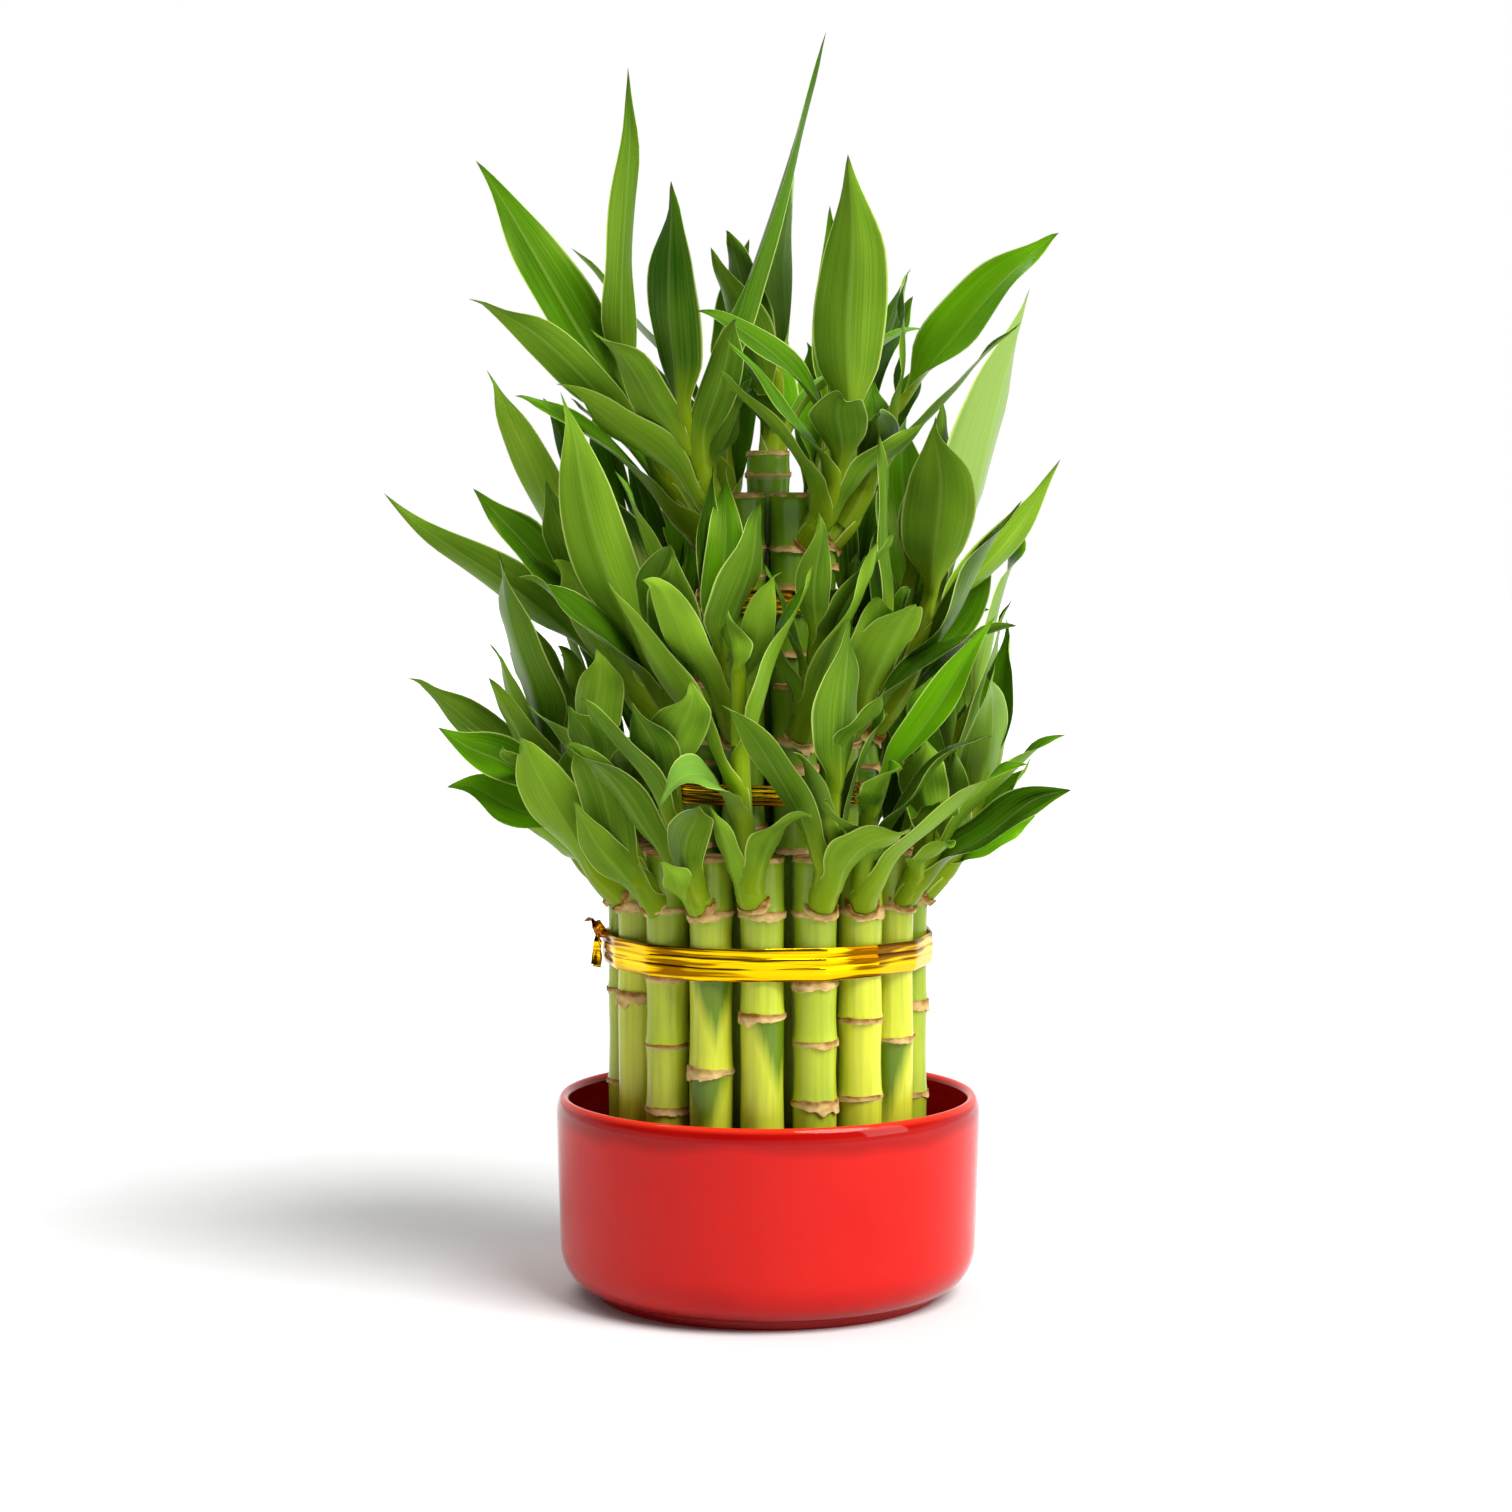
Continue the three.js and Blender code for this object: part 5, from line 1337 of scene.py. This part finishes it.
def wheel_thrown():
    """Shape thrown on a wheel: a profile, drawn from the axis outwards, carried once round it."""
    tree = bpy.data.node_groups.new(wheel_thrown.__name__, "GeometryNodeTree")
    input_socket(tree, "Profile", "NodeSocketGeometry")
    input_socket(tree, "Sides", "NodeSocketInt", 96)
    input_socket(tree, "Finish", "NodeSocketMaterial")
    tree.interface.new_socket("Turned", in_out="OUTPUT", socket_type="NodeSocketGeometry")
    given = put(tree, "NodeGroupInput").outputs
    size = put(tree, "GeometryNodeAttributeDomainSize", {"Geometry": given["Profile"]}).outputs["Point Count"]
    columns = put(tree, "ShaderNodeMath", {0: given["Sides"], 1: 1.0}, operation="ADD")
    grid = put(tree, "GeometryNodeMeshGrid", {"Vertices X": columns, "Vertices Y": size}).outputs["Mesh"]
    number = put(tree, "GeometryNodeInputIndex")
    share = put(tree, "ShaderNodeMath", {0: number, 1: size}, operation="DIVIDE")
    column = put(tree, "ShaderNodeMath", {0: share}, operation="FLOOR")
    row = put(tree, "ShaderNodeMath", {0: number, 1: size}, operation="MODULO")
    spot = put(tree, "GeometryNodeInputPosition")
    point = put(tree, "GeometryNodeSampleIndex", {"Geometry": given["Profile"], "Value": spot, "Index": row},
                data_type="FLOAT_VECTOR")
    angle = put(tree, "ShaderNodeMath", {0: column, 1: 2 * math.pi}, operation="MULTIPLY")
    turn = put(tree, "ShaderNodeMath", {0: angle, 1: given["Sides"]}, operation="DIVIDE")
    facing = put(tree, "ShaderNodeCombineXYZ", {"Z": turn})
    swung = put(tree, "ShaderNodeVectorRotate", {"Vector": point, "Rotation": facing},
                rotation_type="EULER_XYZ")
    turned = put(tree, "GeometryNodeSetPosition", {"Geometry": grid, "Position": swung})
    closed = put(tree, "GeometryNodeMergeByDistance", {"Geometry": turned, "Distance": TINY})
    close_tree(tree, closed, given["Finish"])
    return tree


def run_tree(grow, name, points, closed, inputs):
    """Plain mesh of a tree, which the function grow makes at its first use, run on points in metres."""
    tree = bpy.data.node_groups.get(grow.__name__) or grow()
    line = bpy.data.meshes.new(name)
    count = len(points)
    edges = [(i, (i + 1) % count) for i in range(count if closed else count - 1)]
    line.from_pydata([tuple(p) for p in points], edges, [])
    carrier = bpy.data.objects.new(name, line)
    bpy.context.scene.collection.objects.link(carrier)
    modifier = carrier.modifiers.new(name, "NODES")
    modifier.node_group = tree
    given = {item.name: item.identifier for item in tree.interface.items_tree if item.in_out == "INPUT"}
    for label, value in inputs.items():
        modifier[given[label]] = value
    depsgraph = bpy.context.evaluated_depsgraph_get()
    mesh = bpy.data.meshes.new_from_object(carrier.evaluated_get(depsgraph))
    bpy.data.objects.remove(carrier)
    return mesh


def tidy_solid(mesh):
    """Merges doubles, turns faces outwards and shades a closed mesh smooth except at sharp edges."""
    work = bmesh.new()
    work.from_mesh(mesh)
    bmesh.ops.remove_doubles(work, verts=work.verts, dist=TINY)
    bmesh.ops.recalc_face_normals(work, faces=work.faces)
    work.to_mesh(mesh)
    work.free()
    mesh.polygons.foreach_set("use_smooth", [True] * len(mesh.polygons))
    mesh.set_sharp_from_angle(angle=math.radians(SHARP_ANGLE))
    mesh.update()
    return mesh


def arc(centre, reach, start, end, steps):
    """Points (radius, height) of an arc, its angles in degrees."""
    angles = np.radians(np.linspace(start, end, steps + 1))
    return [(centre[0] + reach[0] * math.cos(a), centre[1] + reach[1] * math.sin(a)) for a in angles]


def bowl_corner(size):
    """Centre of the rounding between the bowl's floor and its wall."""
    return size.belly_radius - size.wall - size.corner, size.floor + size.corner


def row_between(start, end, steps):
    """Points strictly between two others, evenly spaced."""
    return [(start[0] + (end[0] - start[0]) * i / steps, start[1] + (end[1] - start[1]) * i / steps)
            for i in range(1, steps)]


def bowl_profile(size):
    """Profile from the axis to the floor: low foot, rounded underside, almost straight wall and lip."""
    rim = size.wall / 2
    under = size.foot_radius + size.foot_ease
    underside = (size.belly_radius - under, size.belly_height - size.foot_step)
    corner = bowl_corner(size)
    shoulder = size.height - size.shoulder
    top = size.height - rim
    foot_inside = size.foot_radius - FOOT_RING
    return [
        (0, size.foot_hollow),
        (foot_inside - FOOT_SLOPE, size.foot_hollow),
        (foot_inside - FOOT_EDGE, FOOT_EDGE / 2),
        (foot_inside, 0),
        (size.foot_radius - FOOT_EDGE, 0),
        (size.foot_radius, FOOT_EDGE),
        (size.foot_radius, size.foot_step - size.foot_ease / 2),
        *arc((under, size.belly_height), underside, -90, 0, steps=18),
        *row_between((size.belly_radius, size.belly_height), (size.radius, shoulder), WALL_STEPS),
        *arc((size.radius - rim, shoulder), (rim, size.shoulder), 0, 90, steps=12),
        *arc((size.radius - rim, top), (rim, rim), 90, 180, steps=7)[1:],
        *row_between((size.radius - size.wall, top), (corner[0] + size.corner, corner[1]), WALL_STEPS),
        *arc(corner, (size.corner, size.corner), 0, -90, steps=10),
        (size.radius / 2, size.floor),
        (0, size.floor),
    ]


def water_profile(size):
    """Water that fills the bowl to its level and climbs a little up the wall."""
    gap = SEAT_GAP
    corner = bowl_corner(size)
    edge = corner[0] + size.corner - gap
    centre = (edge - WATER_CLIMB, size.water_level + WATER_CLIMB)
    climb = arc(centre, (WATER_CLIMB, WATER_CLIMB), 0, -90, steps=5)
    return [
        (0, size.floor + gap),
        *arc(corner, (size.corner - gap, size.corner - gap), -90, 0, steps=8),
        *climb,
        (edge / 2, size.water_level),
        (0, size.water_level),
    ]


def thrown(name, profile, sides, finish):
    """Mesh of a wheel-thrown profile in millimetres."""
    points = [(radius * MM, 0, height * MM) for radius, height in profile]
    return tidy_solid(run_tree(wheel_thrown, name, points, False, {"Sides": sides, "Finish": finish}))


def hugging_line(tier, arc_steps, height):
    """Closed line that hugs a ring of canes: an arc round each, straight between."""
    half = 180 / tier["count"]
    line = []
    for i in range(tier["count"]):
        angle = tier["first"] + 2 * half * i
        axis = compass(angle) * tier["radius"]
        for step in range(arc_steps + 1):
            facing = compass(angle - half + 2 * half * step / arc_steps)
            line.append(axis + facing * TIE_DISTANCE + UP * height)
    return line


def wound(name, line, closed, finish, **sizes):
    """Mesh of film or strand wound along a line in millimetres."""
    points = [tuple(float(v) * MM for v in point) for point in line]
    inputs = {"Film": finish}
    for label, value in sizes.items():
        label = label.capitalize()
        inputs[label] = value if label in ("Turns", "Seed") else float(value)
    return tidy_solid(run_tree(wound_film, name, points, closed, inputs))


def joined(name, meshes):
    """One mesh of several, with their finishes kept."""
    work = bmesh.new()
    finishes = []
    for mesh in meshes:
        before = len(work.faces)
        work.from_mesh(mesh)
        work.faces.ensure_lookup_table()
        for face in work.faces[before:]:
            face.material_index = len(finishes)
        finishes.append(mesh.materials[0])
    whole = bpy.data.meshes.new(name)
    work.to_mesh(whole)
    work.free()
    for finish in finishes:
        whole.materials.append(finish)
    whole.set_sharp_from_angle(angle=math.radians(SHARP_ANGLE))
    return whole


def rootlet_line(degrees, dice):
    """Line of a root that leaves an outer cane about level, swings aside and droops."""
    facing = compass(degrees + dice.uniform(*ROOTLET_STRAY))
    start = facing * ROOTLET_START + UP * dice.uniform(*ROOTLET_HEIGHTS)
    reach = dice.uniform(*ROOTLET_REACH)
    side = np.cross(UP, facing) * dice.uniform(*ROOTLET_ASIDE)
    line = []
    for s in np.linspace(0, 1, ROOTLET_POINTS):
        droop = dice.uniform(*ROOTLET_DROOP)
        line.append(start + facing * reach * s + side * s * s + UP * (ROOTLET_RISE * s - droop * s * s))
    return line


class BowlSizes(bpy.types.PropertyGroup):
    """Sizes and colours of the bowl and its water."""

    radius: bpy.props.FloatProperty(
        name="Radius", description="Outside radius at the lip, mm", default=56, min=40)
    height: bpy.props.FloatProperty(name="Height", description="Height of the bowl, mm", default=53, min=30)
    belly_radius: bpy.props.FloatProperty(
        name="Belly radius", description="Outside radius over the rounded underside, mm", default=55)
    belly_height: bpy.props.FloatProperty(
        name="Belly height", description="Height where the rounding of the underside ends, mm", default=14)
    foot_radius: bpy.props.FloatProperty(
        name="Foot radius", description="Radius of the foot, mm", default=45.8)
    foot_step: bpy.props.FloatProperty(name="Foot height", description="Height of the foot, mm", default=2.5)
    foot_ease: bpy.props.FloatProperty(name="Foot ease", description="Easing over the foot, mm", default=0.6)
    foot_hollow: bpy.props.FloatProperty(
        name="Foot hollow", description="Hollow inside the foot, mm", default=1.0)
    wall: bpy.props.FloatProperty(name="Wall", description="Thickness of the wall, mm", default=3.6)
    floor: bpy.props.FloatProperty(name="Floor", description="Thickness of the floor, mm", default=6)
    shoulder: bpy.props.FloatProperty(
        name="Shoulder", description="Height of the rounding from the wall to the lip, mm", default=5)
    corner: bpy.props.FloatProperty(name="Corner", description="Rounding inside, mm", default=8)
    water_level: bpy.props.FloatProperty(
        name="Water level", description="Height of the water, mm", default=30)
    sides: bpy.props.IntProperty(name="Sides", description="Faces round the bowl", default=128, min=24)
    glaze: bpy.props.FloatVectorProperty(
        name="Glaze", description="Colour of the glaze", subtype="COLOR", size=4, min=0, max=1,
        default=colour_of("#c2120d"))


class PlantLooks(bpy.types.PropertyGroup):
    """Colours of the canes, shoots and leaves."""

    deep_leaf: bpy.props.FloatVectorProperty(
        name="Deep leaf", description="Colour of the darkest leaves", subtype="COLOR", size=4, min=0, max=1,
        default=colour_of("#0c2a00"))
    bright_leaf: bpy.props.FloatVectorProperty(
        name="Bright leaf", description="Colour of the brightest leaves", subtype="COLOR", size=4, min=0,
        max=1, default=colour_of("#5c9804"))
    leaf_back: bpy.props.FloatVectorProperty(
        name="Leaf back", description="Colour of the leaves' undersides", subtype="COLOR", size=4, min=0,
        max=1, default=colour_of("#7ca424"))
    bright_cane: bpy.props.FloatVectorProperty(
        name="Bright cane", description="Colour of the canes' skin", subtype="COLOR", size=4, min=0, max=1,
        default=colour_of("#ccd038"))
    # Also the colour of the painted shade on the inner canes and under the leaves.
    deep_cane: bpy.props.FloatVectorProperty(
        name="Deep cane", description="Colour of the canes' darker streaks", subtype="COLOR", size=4, min=0,
        max=1, default=colour_of("#4f7d14"))
    dry_sheath: bpy.props.FloatVectorProperty(
        name="Dry sheath", description="Colour of the papery sheaths", subtype="COLOR", size=4, min=0, max=1,
        default=colour_of("#dcbe7c"))


class TieSizes(bpy.types.PropertyGroup):
    """Heights and colours of the gold ties."""

    lower: bpy.props.FloatProperty(name="Lower tie", description="Height of its middle, mm", default=92.2)
    middle: bpy.props.FloatProperty(name="Middle tie", description="Height of its middle, mm", default=134)
    upper: bpy.props.FloatProperty(name="Upper tie", description="Height of its middle, mm", default=183)
    gold: bpy.props.FloatVectorProperty(
        name="Gold", description="Colour of the film", subtype="COLOR", size=4, min=0, max=1,
        default=colour_of("#ffcc08"))
    # The amber paints the dark reflections and shade in the film's folds.
    amber_shade: bpy.props.FloatVectorProperty(
        name="Amber", description="Colour of the film's stretch lines", subtype="COLOR", size=4, min=0, max=1,
        default=colour_of("#6e3800"))


class StudioSizes(bpy.types.PropertyGroup):
    """Camera and light."""

    distance: bpy.props.FloatProperty(
        name="Camera distance", description="From the plant's middle", default=0.859, subtype="DISTANCE")
    height: bpy.props.FloatProperty(
        name="Camera height", description="Over the floor", default=0.2, subtype="DISTANCE")
    aside: bpy.props.FloatProperty(
        name="Camera aside", description="From the plant's middle towards +X", default=-0.00315,
        subtype="DISTANCE")
    down: bpy.props.FloatProperty(
        name="Camera tilt", description="Downwards", default=math.radians(3.85), subtype="ANGLE")
    softbox: bpy.props.FloatProperty(
        name="Softbox", description="Power of the softbox", default=4.5, subtype="POWER")
    strip: bpy.props.FloatProperty(
        name="Strip light", description="Power of the strip over the plant", default=2.0, subtype="POWER")
    open_light: bpy.props.FloatProperty(
        name="Open light", description="Strength of the wide light from the right", default=3.8)
    sky: bpy.props.FloatProperty(
        name="Room", description="Brightness of the room behind the plant", default=1.0)
    dim: bpy.props.FloatProperty(
        name="Room in front", description="Brightness towards the camera", default=0.06)


GROUPS = {
    "bamboo_bowl": BowlSizes,
    "bamboo_plant": PlantLooks,
    "bamboo_ties": TieSizes,
    "bamboo_studio": StudioSizes,
}


class BAMBOO_OT_bowl(bpy.types.Operator):
    """Throws the glazed bowl and fills it with water"""

    bl_idname = "bamboo.bowl"
    bl_label = "Bowl and water"

    def execute(self, context):
        size = context.scene.bamboo_bowl
        glaze = glaze_finish(tuple(size.glaze), thin="#e83418", pooled_and_shaded="#860002")
        clay = clay_finish("#c8ab90")
        bowl = thrown("red_bowl", bowl_profile(size), size.sides, glaze)
        bowl.materials.append(clay)
        for face in bowl.polygons:
            in_foot = face.center.xy.length < size.foot_radius * MM
            if in_foot and face.center.z < size.foot_hollow * FOOT_CLAY_REACH * MM:
                face.material_index = 1
        show("red_bowl", bowl, ["bowl"])
        water = thrown("bowl_water", water_profile(size), size.sides, water_finish("#6e3020"))
        show("bowl_water", water, ["water"])
        return {"FINISHED"}


class BAMBOO_OT_canes(bpy.types.Operator):
    """Grows every cane with its shoot and its leaves"""

    bl_idname = "bamboo.canes"
    bl_label = "Leafy canes"

    def execute(self, context):
        looks = context.scene.bamboo_plant
        finishes = [
            cane_finish(deep=tuple(looks.deep_cane), bright=tuple(looks.bright_cane), scar="#c8b078"),
            dry_sheath_finish(pale=tuple(looks.dry_sheath), dark="#80500e"),
            cut_end_finish(rim="#a8783c", middle="#2c3a10"),
            shoot_finish(deep="#446a02", bright="#a0b41c"),
            leaf_finish("waxy_leaf_face", deep=tuple(looks.deep_leaf), bright=tuple(looks.bright_leaf),
                        rib="#c4d874", foot="#6e8c08", bloom_and_sheen="#7c9650", roughness=0.24),
            leaf_finish("matt_leaf_back", deep="#1e4802", bright=tuple(looks.leaf_back), rib="#c8d878",
                        foot="#789008", bloom_and_sheen="#7c9650", roughness=0.32),
        ]
        draw = make_draw(DRAW_SEED)
        canes = plan_canes(draw)
        grow_leaves(canes, draw)
        for number, cane in enumerate(canes):
            dice = np.random.default_rng(LOOKS_SEED + number)
            skin = Skin()
            add_cane(skin, cane, dice)
            add_shoot(skin, cane, dice)
            ordered = sorted(cane.leaves, key=lambda leaf: -leaf.at)
            for rank, leaf in enumerate(ordered):
                add_leaf(skin, cane, leaf, rank, dice)
            name = f"leafy_{cane.name}"
            show(name, mesh_of(name, skin, finishes), [cane.name])
        return {"FINISHED"}


class BAMBOO_OT_ties(bpy.types.Operator):
    """Winds the gold film round the three tiers and twists its ends"""

    bl_idname = "bamboo.ties"
    bl_label = "Gold ties"

    def execute(self, context):
        size = context.scene.bamboo_ties
        gold = gold_finish("gold_film", tuple(size.gold), shadow=tuple(size.amber_shade), roughness=0.16)
        brown = gold_finish("creased_gold_film", "#b0641a", shadow="#6e3000", roughness=0.34)
        wraps = wound("lower_wraps", hugging_line(TIERS[0], TIE_STEPS, size.lower), True, gold, **LOWER_WRAPS)
        knot = wound("twisted_ends", KNOT_PATH, False, gold, **KNOT_FILM)
        loose = wound("loose_end", LOOSE_END, False, brown, **LOOSE_FILM)
        show("lower_gold_tie", joined("lower_gold_tie", [wraps, knot, loose]), ["lower_tie"])
        line = hugging_line(TIERS[1], TIE_STEPS, size.middle)
        middle = wound("middle_gold_tie", line, True, gold, **MIDDLE_STRANDS)
        show("middle_gold_tie", middle, ["middle_tie"])
        line = hugging_line(TIERS[2], UPPER_TIE_STEPS, size.upper)
        upper = wound("upper_gold_tie", line, True, gold, **UPPER_WRAPS)
        show("upper_gold_tie", upper, ["upper_tie"])
        return {"FINISHED"}


class BAMBOO_OT_rootlets(bpy.types.Operator):
    """Grows thin roots from the feet of the outer canes"""

    bl_idname = "bamboo.rootlets"
    bl_label = "Rootlets"

    def execute(self, context):
        dice = np.random.default_rng(LOOKS_SEED)
        finish = rootlet_finish("#e6d8b4")
        meshes = []
        for i in range(ROOTLETS):
            line = rootlet_line(360 * i / ROOTLETS, dice)
            meshes.append(wound(f"rootlet_{i}", line, False, finish, seed=i, **ROOT_THREAD))
        show("rootlets", joined("rootlets", meshes))
        return {"FINISHED"}


class BAMBOO_OT_studio(bpy.types.Operator):
    """Sets up the pale floor, the soft light and the camera"""

    bl_idname = "bamboo.studio"
    bl_label = "Studio"

    def execute(self, context):
        studio = context.scene.bamboo_studio
        lay_floor()
        light_room(studio)
        aim_camera(studio)
        return {"FINISHED"}


def lay_floor():
    """Large round sheet of pale paper under the bowl."""
    mesh = bpy.data.meshes.new("floor")
    work = bmesh.new()
    bmesh.ops.create_circle(work, cap_ends=True, segments=96, radius=FLOOR_RADIUS)
    work.to_mesh(mesh)
    work.free()
    mesh.materials.append(paper_finish("#dedede"))
    floor = bpy.data.objects.new("floor", mesh)
    bpy.context.scene.collection.objects.link(floor)


def light_room(studio):
    """White room behind the plant, dimmer towards the camera, with the light from the right."""
    room = bpy.data.worlds.new("studio_room")
    room.use_nodes = True
    tree = room.node_tree
    spot = put(tree, "ShaderNodeTexCoord").outputs["Generated"]
    parts = put(tree, "ShaderNodeSeparateXYZ", {"Vector": spot}).outputs
    around = put(tree, "ShaderNodeMapRange", {"Value": parts["Y"], "From Min": -0.1, "From Max": 0.6,
                                              "To Min": studio.dim, "To Max": studio.sky})
    higher = put(tree, "ShaderNodeMapRange", {"Value": parts["Z"], "From Min": 0.2, "From Max": 0.5,
                                              "To Min": 1.0, "To Max": 0.5})
    behind = put(tree, "ShaderNodeMath", {0: around, 1: higher}, operation="MULTIPLY")
    above = put(tree, "ShaderNodeMapRange", {"Value": parts["Z"], "From Min": 0.45, "From Max": 0.9,
                                             "To Max": studio.sky * 0.5})
    over = put(tree, "ShaderNodeMath", {0: behind, 1: above}, operation="MAXIMUM")
    low_wall = put(tree, "ShaderNodeMapRange", {"Value": parts["Z"], "From Min": 0.12, "From Max": 0.22,
                                                "To Min": studio.sky * 0.85, "To Max": 0.0})
    share = put(tree, "ShaderNodeMath", {0: over, 1: low_wall}, operation="MAXIMUM")
    join(tree, tree.nodes["Background"], {"Color": (1, 1, 1, 1), "Strength": share})
    bpy.context.scene.world = room
    add_panel("softbox", studio.softbox, **SOFTBOX)
    add_panel("strip", studio.strip, **STRIP)
    sun = bpy.data.lights.new("open_light", "SUN")
    sun.angle = math.radians(OPEN_LIGHT_SPREAD)
    sun.energy = studio.open_light
    place_light(sun, OPEN_LIGHT_PLACE, (0, 0, 0))


def add_panel(name, power, size, place, target):
    """Rectangular light of a width and height, which faces a target."""
    panel = bpy.data.lights.new(name, "AREA")
    panel.shape = "RECTANGLE"
    panel.size, panel.size_y = size
    panel.energy = power
    place_light(panel, place, target)


def place_light(light, place, target):
    """Light at a place, facing a target."""
    lamp = bpy.data.objects.new(light.name, light)
    lamp.location = place
    lamp.rotation_euler = (Vector(target) - Vector(place)).to_track_quat("-Z", "Y").to_euler()
    bpy.context.scene.collection.objects.link(lamp)


def aim_camera(studio):
    """Camera with a long lens, over the plant's middle height, that looks slightly down."""
    lens = bpy.data.cameras.new("camera")
    lens.sensor_width = SENSOR_WIDTH
    lens.lens = SENSOR_WIDTH * FOCAL_PIXELS / FRAME_PIXELS
    camera = bpy.data.objects.new("camera", lens)
    camera.location = (studio.aside, -studio.distance, studio.height)
    camera.rotation_euler = (math.pi / 2 - studio.down, 0, 0)
    bpy.context.scene.collection.objects.link(camera)
    bpy.context.scene.camera = camera
    bpy.context.scene.view_settings.view_transform = "Standard"


class BAMBOO_PT_panel(bpy.types.Panel):
    """Lists the steps that build the plant"""

    bl_idname = "BAMBOO_PT_panel"
    bl_label = "Lucky Bamboo"
    bl_space_type = "VIEW_3D"
    bl_region_type = "UI"
    bl_category = "Lucky Bamboo"

    def draw(self, context):
        for name, group in GROUPS.items():
            box = self.layout.box()
            for label in group.__annotations__:
                box.prop(getattr(context.scene, name), label)
        for step in STEPS:
            self.layout.operator(step.bl_idname)


STEPS = (BAMBOO_OT_bowl, BAMBOO_OT_canes, BAMBOO_OT_ties, BAMBOO_OT_rootlets, BAMBOO_OT_studio)
CLASSES = (*GROUPS.values(), *STEPS, BAMBOO_PT_panel)


def register():
    for kind in CLASSES:
        bpy.utils.register_class(kind)
    for name, group in GROUPS.items():
        setattr(bpy.types.Scene, name, bpy.props.PointerProperty(type=group))


def unregister():
    for name in GROUPS:
        delattr(bpy.types.Scene, name)
    for kind in reversed(CLASSES):
        bpy.utils.unregister_class(kind)


def main():
    register()
    bpy.ops.bamboo.bowl()
    bpy.ops.bamboo.canes()
    bpy.ops.bamboo.ties()
    bpy.ops.bamboo.rootlets()
    bpy.ops.bamboo.studio()


if __name__ == "__main__":
    main()
